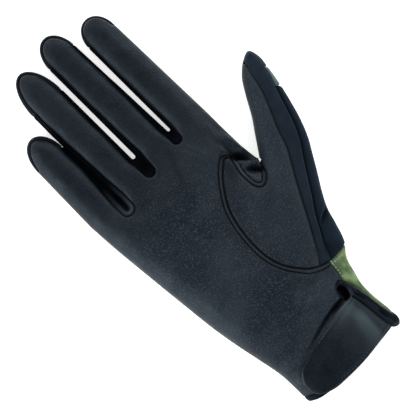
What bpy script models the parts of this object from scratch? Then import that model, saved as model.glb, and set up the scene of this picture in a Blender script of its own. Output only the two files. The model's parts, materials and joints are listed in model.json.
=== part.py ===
"""Right-hand riding glove, lying on its back with the palm up.

+Y runs to the fingertips, +X to the thumb's side and +Z up out of the palm, and the glove rests on z = 0.
Each piece is cut as a pattern piece: a loop in plan, filled with triangles, laid over one inflated hand form
and given its thickness along the form's normals. A piece that turns the edge of the hand has an upper and a
lower sheet that share that edge.
"""

import bpy
import numpy as np
from mathutils import Vector
from mathutils.geometry import delaunay_2d_cdt

# Driving sizes in metres.
GLOVE_LENGTH = 0.2404
PALM_DEPTH = 0.0200
LEATHER = 0.0012
FABRIC = 0.0010
TAB_THICKNESS = 0.0016
TAB_LIFT = 0.0004
BINDING_THICKNESS = 0.0024
BINDING_RAISE = 0.0009
HEM_THICKNESS = 0.0015
HEM_WIDTH = 0.0030
PIECE_GAP = 0.0003
BACK_INSET = 0.0020
BACK_CROTCH = 0.0050

# Mesh spacing in metres.
EDGE_STEP = 0.0074
THUMB_STEP = 0.0040
SEAM_STEP = 0.0046
QUIRK_STEP = 0.0034
TIP_POINTS = 10
RING_DEPTHS = (0.0004, 0.0016, 0.0036, 0.0062, 0.0092)
FIELD_STEP = 0.0078

# Fingers, as shares of the glove's length: across is measured from the middle of the glove's box and along
# from the cuff. The insets are the widths of dark fabric that show beside the leather, near the tip.
FINGERS = {
    #          root across, tip across, tip along, root half, tip half, tip length, left, top, right inset
    "little": (-0.2222, -0.2222, 0.8630, 0.0423, 0.0392, 0.062, 0.0021, 0.0078, 0.0030),
    "ring": (-0.1358, -0.1387, 0.9820, 0.0425, 0.0440, 0.090, 0.0085, 0.0055, 0.0055),
    "middle": (-0.0385, -0.0447, 1.0000, 0.0452, 0.0390, 0.058, 0.0070, 0.0045, 0.0030),
    "index": (0.0543, 0.0500, 0.9647, 0.0420, 0.0385, 0.050, 0.0040, 0.0030, 0.0021),
}
FINGER_ROOT = 0.630

# Where two fingers part: the gap's foot, then the foot of the leather's U-shaped edge and its insets there.
CROTCHES = (
    # left, right, gap foot along, leather foot along, left inset, right inset
    ("little", "ring", 0.630, 0.588, 0.0140, 0.0160),
    ("ring", "middle", 0.676, 0.614, 0.0066, 0.0122),
    ("middle", "index", 0.663, 0.623, 0.0118, 0.0068),
)

# Edges and seams of the hand, as (along, across) from the cuff to the fingers.
LEFT_EDGE = (
    (0.020, -0.196), (0.052, -0.196), (0.105, -0.198), (0.158, -0.208), (0.211, -0.219), (0.281, -0.231),
    (0.352, -0.239), (0.458, -0.250), (0.563, -0.260), (0.630, -0.2645),
)
RIGHT_EDGE = ((0.473, 0.1040), (0.493, 0.1010), (0.521, 0.0980), (0.566, 0.0965), (0.630, 0.0963))
WRIST_EDGE = (
    (0.018, 0.0755), (0.052, 0.073), (0.092, 0.069), (0.122, 0.070), (0.158, 0.079), (0.180, 0.085),
    (0.196, 0.094), (0.207, 0.105),
)
MOUTH = (
    (0.020, -0.196), (0.012, -0.178), (0.005, -0.140), (0.000, -0.093), (0.001, -0.035), (0.006, 0.006),
    (0.013, 0.047), (0.018, 0.0755),
)
KNUCKLE_SEAM = ((0.560, -0.2598), (0.570, -0.170), (0.575, -0.060), (0.570, 0.030), (0.566, 0.0965))
WRIST_SEAM = ((0.209, 0.053), (0.184, 0.050), (0.158, 0.046))
BACK_THUMB_SEAM = (
    (0.207, 0.105), (0.260, 0.058), (0.330, 0.040), (0.400, 0.060), (0.440, 0.088), (0.473, 0.104),
)

# The teardrop seam round the ball of the thumb, in four runs from the wrist's edge to the thumb's crotch.
STRIP_FOOT = (0.2075, 0.061)
LEATHER_FOOT = (0.215, 0.031)
BALL_SEAM = (
    LEATHER_FOOT, (0.227, 0.009), (0.245, -0.007), (0.264, -0.021), (0.290, -0.033), (0.323, -0.040),
    (0.356, -0.041), (0.389, -0.038), (0.420, -0.032), (0.451, -0.021), (0.477, -0.005), (0.503, 0.015),
    (0.521, 0.035), (0.529, 0.049), (0.526, 0.058), (0.510, 0.059), (0.486, 0.054), (0.463, 0.053),
    (0.445, 0.055), (0.433, 0.062), (0.429, 0.073), (0.436, 0.085), (0.450, 0.096), (0.473, 0.104),
)

# The thumb's axis runs from its foot to its tip. Its rows are shares of its length, positive to the outer
# side.
THUMB_FOOT = (0.246, 0.048)
THUMB_TIP = (0.663, 0.255)
THUMB = (
    # along, inner edge, outer edge, leather's edge, side strip's edge
    (0.00, -0.300, 0.148, 0.010, 0.051),
    (0.10, -0.250, 0.135, 0.015, 0.056),
    (0.17, -0.220, 0.122, 0.017, 0.060),
    (0.25, -0.190, 0.122, 0.019, 0.072),
    (0.35, -0.155, 0.131, 0.022, 0.082),
    (0.45, -0.120, 0.138, 0.028, 0.093),
    (0.50, -0.106, 0.142, 0.030, 0.101),
    (0.60, -0.094, 0.137, 0.018, 0.102),
    (0.70, -0.080, 0.120, 0.012, 0.088),
    (0.80, -0.075, 0.097, 0.003, 0.074),
    (0.90, -0.062, 0.067, -0.022, 0.056),
    (0.96, -0.035, 0.044, -0.029, 0.020),
    (1.00, 0.003, 0.003, 0.003, 0.003),
)
PATCH_FROM = 0.80
PATCH_TO = 0.90
PATCH_WRAP = 0.040

# The wrist slit's binding and the tab over it.
BINDING_OUTSIDE = (
    (0.128, 0.017), (0.140, 0.017), (0.153, 0.020), (0.163, 0.028), (0.165, 0.038), (0.158, 0.046),
)
BINDING_RIGHT = ((0.158, 0.046), (0.136, 0.054), (0.107, 0.060), (0.056, 0.067), (0.0305, 0.0715))
BINDING_END = ((0.018, 0.0755), (0.006, 0.0755), (0.000, 0.070), (0.003, 0.060), (0.010, 0.050))
BINDING_LEFT = ((0.010, 0.050), (0.047, 0.045), (0.083, 0.041), (0.122, 0.033))
BINDING_INSIDE = (
    (0.122, 0.033), (0.140, 0.0315), (0.153, 0.0295), (0.1565, 0.0262), (0.150, 0.0228), (0.140, 0.0213),
    (0.128, 0.0213),
)
SLIT_EDGE = ((0.128, 0.017), (0.090, 0.024), (0.050, 0.030), (0.0195, 0.033))
TAB_EDGE = (
    (0.122, 0.033), (0.120, -0.003), (0.114, -0.042), (0.105, -0.091), (0.093, -0.130), (0.080, -0.160),
    (0.061, -0.173), (0.043, -0.175), (0.025, -0.171), (0.013, -0.160), (0.004, -0.138), (0.000, -0.093),
    (0.001, -0.035), (0.006, 0.006), (0.010, 0.050),
)

# The inflated form, along the hand: the height of its edge, its rise above that, and how far in from the edge
# it reaches full height, as shares of the palm's depth.
DEPTHS = (
    # along, edge height, rise, reach
    (0.00, 0.42, 0.42, 0.62),
    (0.10, 0.42, 0.43, 0.62),
    (0.22, 0.45, 0.50, 0.75),
    (0.38, 0.45, 0.52, 0.80),
    (0.52, 0.42, 0.48, 0.70),
    (0.62, 0.36, 0.39, 0.50),
    (0.70, 0.34, 0.36, 0.46),
    (0.85, 0.32, 0.34, 0.45),
    (1.00, 0.28, 0.29, 0.42),
)
THUMB_DEPTHS = ((0.00, 0.43, 0.46), (0.50, 0.41, 0.42), (0.80, 0.38, 0.36), (1.00, 0.33, 0.26))
BACK_REACH = 0.75
SWELLS = (
    # along, across, length, breadth, height in metres
    (0.345, 0.037, 0.130, 0.080, 0.0022),
    (0.268, -0.180, 0.130, 0.060, 0.0010),
    (0.390, -0.107, 0.110, 0.060, -0.0015),
    (0.462, 0.080, 0.035, 0.030, -0.0024),
)
SWELL_REACH = 0.0090

MATERIALS = {
    # name: base colour, roughness
    "black_leather": ((0.016, 0.022, 0.031), 0.55),
    "navy_stretch_fabric": ((0.007, 0.012, 0.023), 0.80),
    "light_navy_fabric": ((0.014, 0.030, 0.054), 0.78),
    "grey_green_fabric": ((0.102, 0.156, 0.141), 0.80),
    "olive_fabric": ((0.150, 0.242, 0.091), 0.85),
    "black_fabric": ((0.006, 0.008, 0.013), 0.80),
    "black_binding": ((0.004, 0.005, 0.011), 0.60),
}


def plan(rows):
    """The (along, across) rows as x and y in metres, from the middle of the glove's box."""
    rows = np.asarray(rows, float).reshape(-1, 2)
    return np.stack([rows[:, 1], rows[:, 0] - 0.5], axis=1) * GLOVE_LENGTH


def through_rows(at, rows, column):
    """A smooth curve through one column of a table, at the given places along its first column."""
    rows = np.asarray(rows, float)
    places = rows[:, 0]
    values = rows[:, column]
    slopes = np.gradient(values, places)
    at = np.clip(at, places[0], places[-1])
    row = np.clip(np.searchsorted(places, at, side="right") - 1, 0, len(places) - 2)
    width = places[row + 1] - places[row]
    t = (at - places[row]) / width
    return (
        (2 * t**3 - 3 * t**2 + 1) * values[row]
        + (t**3 - 2 * t**2 + t) * width * slopes[row]
        + (3 * t**2 - 2 * t**3) * values[row + 1]
        + (t**3 - t**2) * width * slopes[row + 1]
    )


def smooth(points, step):
    """A smooth curve through the points, as evenly spaced points about one step apart."""
    points = np.asarray(points, float)
    run = np.concatenate([[0.0], np.cumsum(np.linalg.norm(np.diff(points, axis=0), axis=1))])
    fine = np.linspace(0.0, run[-1], 30 * len(points))
    dense = np.stack(
        [through_rows(fine, np.stack([run, points[:, axis]], axis=1), 1) for axis in (0, 1)], axis=1
    )
    length = np.concatenate([[0.0], np.cumsum(np.linalg.norm(np.diff(dense, axis=0), axis=1))])
    places = np.linspace(0.0, length[-1], max(2, int(round(length[-1] / step)) + 1))
    return np.stack([np.interp(places, length, dense[:, axis]) for axis in (0, 1)], axis=1)


def join(*curves):
    """Curves that follow on from each other, as one, without the points that they share."""
    return np.concatenate([curves[0]] + [curve[1:] for curve in curves[1:]])


def thumb_axis():
    """The thumb's foot, its unit direction, the unit direction to its outer side, and its length."""
    foot, tip = plan([THUMB_FOOT, THUMB_TIP])
    length = np.linalg.norm(tip - foot)
    direction = (tip - foot) / length
    return foot, direction, np.array([direction[1], -direction[0]]), length


def on_thumb(along, across):
    """Points at these shares of the thumb's length along and across its axis."""
    foot, direction, outward, length = thumb_axis()
    return foot + length * (np.outer(along, direction) + np.outer(across, outward))


def finger_side(name, side, along):
    """Points on a finger's left (-1) or right (+1) edge, below its rounded tip."""
    root_at, tip_at, tip_along, root_half, tip_half, tip_length = FINGERS[name][:6]
    t = (np.asarray(along, float) - FINGER_ROOT) / (tip_along - tip_length - FINGER_ROOT)
    across = root_at + (tip_at - root_at) * t + side * (root_half + (tip_half - root_half) * t)
    return plan(np.stack([along, across], axis=1))


def finger_tip(name):
    """The finger's rounded tip from left to right."""
    _, tip_at, tip_along, _, half, length = FINGERS[name][:6]
    turn = np.linspace(np.pi, 0.0, TIP_POINTS)
    along = tip_along - length + length * np.sin(turn)
    return plan(np.stack([along, tip_at + half * np.cos(turn)], axis=1))


def tip_edge(name):
    """The leather's edge round a fingertip, from its left end to its right end."""
    left, top, right = FINGERS[name][6:9]
    tip = finger_tip(name)
    run = np.gradient(tip, axis=0)
    inward = np.stack([run[:, 1], -run[:, 0]], axis=1)
    inward[[0, -1]] = (1.0, 0.0), (-1.0, 0.0)
    inward /= np.linalg.norm(inward, axis=1)[:, None]
    inset = np.interp(np.linspace(0, 1, TIP_POINTS), (0.0, 0.3, 0.7, 1.0), (left, top, top, right))
    return tip + inward * inset[:, None] * GLOVE_LENGTH


def sides_along(name, foot):
    """The places along a finger between the foot of its gap and its rounded tip."""
    top = FINGERS[name][2] - FINGERS[name][5]
    count = int(round((top - foot) * GLOVE_LENGTH / EDGE_STEP)) + 1
    return np.linspace(foot, top, count)


def crotch_gap(left, right, foot):
    """The small arc at the foot of the gap between two fingers."""
    ends = np.stack([finger_side(left, 1, [foot])[0], finger_side(right, -1, [foot])[0]])
    centre = ends.mean(axis=0)
    radius = (ends[1, 0] - ends[0, 0]) / 2
    turn = np.linspace(np.pi, 2 * np.pi, 5)
    return centre + radius * np.stack([np.cos(turn), np.sin(turn)], axis=1)


def crotch_edge(left, right, foot, bottom, insets, tips):
    """A U-shaped seam from the left finger's right edge, round the gap, to the right finger's left edge."""
    down = sides_along(left, foot)[::-1]
    up = sides_along(right, foot)
    legs = []
    sides = ((left, 1, down, insets[0], tips[0]), (right, -1, up, insets[1], tips[1]))
    for name, side, places, at_foot, at_tip in sides:
        share = (places - foot) / (places.max() - foot)
        inset = at_foot + (at_tip - at_foot) * np.minimum(1.0, 1.6 * share)
        legs.append(finger_side(name, side, places) - np.outer(inset * side, (GLOVE_LENGTH, 0.0)))
    centre = (legs[0][-1, 0] + legs[1][0, 0]) / 2
    half = (legs[1][0, 0] - legs[0][-1, 0]) / 2
    low = (bottom - 0.5) * GLOVE_LENGTH + half
    turn = np.linspace(np.pi, 2 * np.pi, 9)
    arc = np.stack([centre + half * np.cos(turn), low + half * np.sin(turn)], axis=1)
    high = legs[0][-1, 1]
    fall = np.linspace(high, low, max(2, int((high - low) / SEAM_STEP) + 2))[1:-1, None]
    left_fall, right_fall = (np.insert(fall, 0, centre + side * half, axis=1) for side in (-1, 1))
    return np.concatenate([legs[0], left_fall, arc, right_fall[::-1], legs[1]])


class Rim:
    """The hand's edge in plan, from the cuff's left end over the fingers and the thumb to its right end."""

    def __init__(self):
        self.marks = {}
        runs = [("left", smooth(plan(LEFT_EDGE), EDGE_STEP))]
        for index, name in enumerate(FINGERS):
            left_foot = CROTCHES[index - 1][2] if index else FINGER_ROOT
            right_foot = CROTCHES[index][2] if index < len(CROTCHES) else FINGER_ROOT
            runs.append((name + "_up", finger_side(name, -1, sides_along(name, left_foot))))
            runs.append((name + "_tip", finger_tip(name)))
            runs.append((name + "_down", finger_side(name, 1, sides_along(name, right_foot)[::-1])))
            if index < len(CROTCHES):
                runs.append((name + "_gap", crotch_gap(*CROTCHES[index][:3])))
        runs.append(("right", smooth(plan(RIGHT_EDGE)[::-1], EDGE_STEP)))
        rows = np.array(THUMB)
        inner = on_thumb(rows[7:, 0], rows[7:, 1])
        outer = on_thumb(rows[:-1, 0], rows[:-1, 2])[::-1]
        foot = plan([WRIST_EDGE[-1]])
        crotch = plan([RIGHT_EDGE[0]])
        runs.append(("thumb", smooth(np.concatenate([crotch, inner, outer, foot]), THUMB_STEP)))
        runs.append(("wrist", smooth(plan(WRIST_EDGE)[::-1], EDGE_STEP)))
        points = [runs[0][1][0]]
        for name, run in runs:
            skip = np.linalg.norm(run[0] - points[-1]) < 2e-4
            self.marks[name + "_start"] = points[-1] if skip else run[0]
            points.extend(run[1:] if skip else run)
            self.marks[name + "_end"] = run[-1]
        self.points = np.array(points)

    def add_mark(self, name, near):
        """Puts a corner of the edge at the place nearest to a point, and keeps its name."""
        start = self.points[:-1]
        run = self.points[1:] - start
        t = np.clip(((near - start) * run).sum(axis=1) / (run**2).sum(axis=1), 0.0, 1.0)
        foot = start + run * t[:, None]
        segment = int(np.argmin(np.linalg.norm(foot - near, axis=1)))
        fixed = np.array(list(self.marks.values()))
        for index in (segment, segment + 1):
            free = np.linalg.norm(fixed - self.points[index], axis=1).min() > 1e-6
            if free and np.linalg.norm(self.points[index] - foot[segment]) < 0.0018:
                self.points[index] = foot[segment]
                self.marks[name] = foot[segment]
                return
        self.points = np.insert(self.points, segment + 1, foot[segment], axis=0)
        self.marks[name] = foot[segment]

    def index(self, name):
        """The number of the point that a mark names."""
        return int(np.argmin(np.linalg.norm(self.points - self.marks[name], axis=1)))

    def run(self, start, end):
        """The numbers of the edge's points from one mark to another, either way round."""
        first, last = self.index(start), self.index(end)
        return list(range(first, last + 1)) if first <= last else list(range(first, last - 1, -1))

    def inward(self):
        """The unit direction into the hand at each point of the edge."""
        run = np.diff(self.points, axis=0)
        run /= np.linalg.norm(run, axis=1)[:, None]
        turned = np.stack([run[:, 1], -run[:, 0]], axis=1)
        both = np.concatenate([turned[:1], turned[:-1] + turned[1:], turned[-1:]])
        return both / np.maximum(np.linalg.norm(both, axis=1), 1e-9)[:, None]

    def depth(self, points):
        """How far each point lies in from the hand's edge, and the unit direction away from that edge."""
        below = np.array([0.0, 0.05 * GLOVE_LENGTH])
        line = np.concatenate([self.points[:1] - below, self.points, self.points[-1:] - below])
        start = line[:-1]
        run = line[1:] - start
        t = ((points[:, None] - start) * run).sum(axis=2) / (run**2).sum(axis=1)
        foot = start + run * np.clip(t, 0.0, 1.0)[:, :, None]
        away = points[:, None] - foot
        distance = np.linalg.norm(away, axis=2)
        nearest = distance.argmin(axis=1)
        row = np.arange(len(points))
        depth = distance[row, nearest]
        direction = away[row, nearest] / np.maximum(depth, 1e-9)[:, None]
        on_edge = depth < 1e-5
        corner = np.linalg.norm(points[on_edge][:, None] - self.points, axis=2).argmin(axis=1)
        direction[on_edge] = self.inward()[corner]
        depth[on_edge] = 0.0
        return depth, direction


def ramp(value, low, high):
    """0 below low, 1 above high and a smooth rise between."""
    t = np.clip((value - low) / (high - low), 0.0, 1.0)
    return t * t * (3 - 2 * t)


def height(points, depth, side):
    """The form's height at points this deep in from the edge, on the palm (+1) or the back (-1)."""
    along = points[:, 1] / GLOVE_LENGTH + 0.5
    edge, rise, reach = (through_rows(along, DEPTHS, column) * PALM_DEPTH for column in (1, 2, 3))
    foot, direction, outward, length = thumb_axis()
    place = (points - foot) @ direction / length
    across = (points - foot) @ outward / length
    share = ramp(place, 0.25, 0.55) * ramp(across, -0.30, -0.13)
    half = (through_rows(place, THUMB, 2) - through_rows(place, THUMB, 1)) * length / 2
    edge = edge + share * (through_rows(place, THUMB_DEPTHS, 1) * PALM_DEPTH - edge)
    rise = rise + share * (through_rows(place, THUMB_DEPTHS, 2) * PALM_DEPTH - rise)
    reach = reach + share * (np.minimum(0.92 * half, reach) - reach)
    reach = np.maximum(reach, 0.0025)
    if side > 0:
        swell = np.zeros(len(points))
        for at, off, long, broad, high in SWELLS:
            middle = plan([(at, off)])[0]
            away = (points - middle) / (np.array([broad, long]) * GLOVE_LENGTH)
            swell += high * np.exp(-(away**2).sum(axis=1))
        inside = np.minimum(1.0, depth / reach)
        bulge = np.sqrt(np.maximum(0.0, 1 - (1 - inside) ** 2))
        return edge + PIECE_GAP / 2 + rise * bulge + swell * ramp(depth, 0.0, SWELL_REACH)
    inside = np.minimum(1.0, depth / (BACK_REACH * reach))
    bulge = np.sqrt(np.maximum(0.0, 1 - (1 - inside) ** 2))
    return (edge - PIECE_GAP / 2) * (1 - bulge)


def lay(rim, points, side):
    """The form's points and outward unit normals over points in plan."""
    depth, away = rim.depth(points)
    small = 1e-5
    step_x, step_y = np.array([small, 0.0]), np.array([0.0, small])
    z = height(points, depth, side)
    slope = np.stack(
        [
            (height(points + step, depth, side) - height(points - step, depth, side)) / (2 * small)
            for step in (step_x, step_y)
        ],
        axis=1,
    )
    lower = np.maximum(depth - small, 0.0)
    steep = (height(points, depth + small, side) - height(points, lower, side)) / (depth + small - lower)
    slope = slope + steep[:, None] * away
    normals = np.concatenate([-slope, np.ones((len(points), 1))], axis=1) * side
    normals /= np.linalg.norm(normals, axis=1)[:, None]
    return np.concatenate([points, z[:, None]], axis=1), normals


def inside_loop(points, loop):
    """Whether each point lies inside a closed loop in plan."""
    start, end = loop, np.roll(loop, -1, axis=0)
    above = (start[:, 1] > points[:, None, 1]) != (end[:, 1] > points[:, None, 1])
    fall = np.where(np.abs(end[:, 1] - start[:, 1]) < 1e-12, 1e-12, end[:, 1] - start[:, 1])
    at = start[:, 0] + (points[:, None, 1] - start[:, 1]) * (end[:, 0] - start[:, 0]) / fall
    return ((points[:, None, 0] < at) & above).sum(axis=1) % 2 == 1


def loop_clearance(points, loop, use):
    """How far each point lies from those sides of a closed loop that are to be used."""
    start = loop[use]
    run = np.roll(loop, -1, axis=0)[use] - start
    t = ((points[:, None] - start) * run).sum(axis=2) / (run**2).sum(axis=1)
    foot = start + run * np.clip(t, 0.0, 1.0)[:, :, None]
    return np.linalg.norm(points[:, None] - foot, axis=2).min(axis=1)


class Sheet:
    """One side of a piece: a loop in plan with its filling of triangles.

    A part of the loop is a list of the edge's point numbers, or an array of a seam's points. The seam's side
    is drawn in by half the gap between pieces.
    """

    def __init__(self, rim, side, parts):
        points, numbers, on_rim = [], [], []
        for part in parts:
            rim_part = isinstance(part, list)
            run = rim.points[part] if rim_part else part
            for place, point in enumerate(run[:-1]):
                points.append(point)
                numbers.append(part[place] if rim_part else -1)
                on_rim.append(rim_part)
        points, numbers, on_rim = np.array(points), np.array(numbers), np.array(on_rim)
        last = np.roll(on_rim, 1) & (numbers < 0)
        nearest = np.linalg.norm(points[:, None] - rim.points, axis=2).argmin(axis=1)
        numbers[last] = nearest[last]
        area = (points[:, 0] * np.roll(points[:, 1], -1) - points[:, 1] * np.roll(points[:, 0], -1)).sum()
        if area < 0:
            points, numbers, on_rim = points[::-1], numbers[::-1], np.roll(on_rim[::-1], -1)
        self.side = side
        self.numbers = numbers
        self.on_rim = on_rim
        self.loop = self.drawn_in(points, on_rim)
        self.plan, self.triangles = self.fill(rim)

    @staticmethod
    def drawn_in(points, on_rim):
        """The loop with its seams moved in by half the gap between pieces."""
        run = np.roll(points, -1, axis=0) - points
        run /= np.linalg.norm(run, axis=1)[:, None]
        turned = np.stack([-run[:, 1], run[:, 0]], axis=1)
        before, rim_before = np.roll(turned, 1, axis=0), np.roll(on_rim, 1)
        middle = before + turned
        middle /= np.maximum(np.linalg.norm(middle, axis=1), 1e-9)[:, None]
        mitre = np.minimum(1 / np.maximum((middle * turned).sum(axis=1), 0.2), 1.8)
        move = middle * mitre[:, None]
        move[on_rim & rim_before] = 0.0
        came = np.roll(run, 1, axis=0)
        apart = np.abs(came[:, 0] * run[:, 1] - came[:, 1] * run[:, 0])
        reach = 1 / np.clip(apart, 0.38, 1.0)[:, None]
        to_seam = rim_before & ~on_rim
        move[to_seam] = (-came * reach)[to_seam]
        from_seam = ~rim_before & on_rim
        move[from_seam] = (run * reach)[from_seam]
        return points + move * PIECE_GAP / 2

    def fill(self, rim):
        """The points in plan, the loop's own first, and the triangles between them."""
        seams = ~self.on_rim
        kept = [self.loop]
        inward = rim.inward()
        for row, ring in enumerate(RING_DEPTHS):
            points = rim.points + inward * ring
            near = RING_DEPTHS[row] - (RING_DEPTHS[row - 1] if row else 0.0)
            good = inside_loop(points, self.loop) & (rim.depth(points)[0] > 0.96 * ring)
            if seams.any():
                good &= loop_clearance(points, self.loop, seams) > 0.0004 + 0.12 * ring
            for point in points[good]:
                if min(np.linalg.norm(group - point, axis=1).min() for group in kept) > 0.62 * near:
                    kept.append(point[None])
        low, high = self.loop.min(axis=0), self.loop.max(axis=0)
        across, along = np.meshgrid(
            np.arange(low[0], high[0], FIELD_STEP), np.arange(low[1], high[1], FIELD_STEP * 0.87)
        )
        across[1::2] += FIELD_STEP / 2
        field = np.stack([across.ravel(), along.ravel()], axis=1)
        field = field[inside_loop(field, self.loop)]
        if len(field):
            ringed = np.concatenate(kept)
            good = rim.depth(field)[0] > RING_DEPTHS[-1] + 0.3 * FIELD_STEP
            whole = np.ones(len(self.loop), bool)
            good &= loop_clearance(field, self.loop, whole) > 0.4 * FIELD_STEP
            good &= np.linalg.norm(field[:, None] - ringed, axis=2).min(axis=1) > 0.45 * FIELD_STEP
            kept.append(field[good])
        points = np.concatenate(kept)
        ring = list(range(len(self.loop)))
        made = delaunay_2d_cdt([Vector(point) for point in points.tolist()], [], [ring], 1, 1e-9)
        source = np.array([group[0] for group in made[3]])
        triangles = source[np.array(made[2])]
        corners = points[triangles]
        turn = np.cross(corners[:, 1] - corners[:, 0], corners[:, 2] - corners[:, 0])
        triangles[turn < 0] = triangles[turn < 0][:, ::-1]
        return points, triangles


def add_material(name):
    """The named material as a plain Principled surface."""
    colour, roughness = MATERIALS[name]
    material = bpy.data.materials.get(name) or bpy.data.materials.new(name)
    material.use_nodes = True
    surface = material.node_tree.nodes["Principled BSDF"]
    surface.inputs["Base Color"].default_value = (*colour, 1.0)
    surface.inputs["Roughness"].default_value = roughness
    surface.inputs["Metallic"].default_value = 0.0
    return material


def add_piece(rim, name, material, sheets, thickness, lift=0.0):
    """Makes one closed piece from its sheets.

    Its outer face lies this lift above the form and its inner face one thickness below that. Sheets on
    opposite sides are joined along the parts of the hand's edge that both have.
    """
    outer, inner, faces = [], [], []
    edges = {1: {}, -1: {}}
    count = 0
    for sheet in sheets:
        points, normals = lay(rim, sheet.plan, sheet.side)
        outer.append(points + normals * lift)
        inner.append(points + normals * (lift - thickness))
        turned = sheet.triangles if sheet.side > 0 else sheet.triangles[:, ::-1]
        faces.extend((turned + count).tolist())
        size = len(sheet.loop)
        for place in np.flatnonzero(sheet.on_rim):
            after = (place + 1) % size
            key = (sheet.numbers[place], sheet.numbers[after])
            edges[sheet.side][key] = (place + count, after + count)
        count += len(points)
    for key in edges[1].keys() & edges[-1].keys():
        (a, b), (low_a, low_b) = edges[1][key], edges[-1][key]
        faces.append([b, a, low_a, low_b])
    sides = {(a, b) for face in faces for a, b in zip(face, face[1:] + face[:1])}
    walls = [[b, a, a + count, b + count] for a, b in sorted(sides) if (b, a) not in sides]
    faces += [[corner + count for corner in face[::-1]] for face in faces] + walls
    points = np.concatenate(outer + inner)
    centre = (points.min(axis=0) + points.max(axis=0)) / 2
    mesh = bpy.data.meshes.new(name)
    mesh.from_pydata((points - centre).tolist(), [], faces)
    mesh.validate()
    mesh.shade_smooth()
    mesh.set_sharp_from_angle(angle=np.radians(50))
    mesh.materials.append(add_material(material))
    piece = bpy.data.objects.new(name, mesh)
    piece.location = centre
    bpy.context.scene.collection.objects.link(piece)
    return piece


def clear_scene():
    for item in list(bpy.data.objects):
        bpy.data.objects.remove(item)


def thumb_line(column, start, end, step):
    """A seam along the thumb from one share of its length to another, at one column of its table."""
    places = np.linspace(start, end, 12)
    return smooth(on_thumb(places, through_rows(places, THUMB, column)), step)


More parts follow.
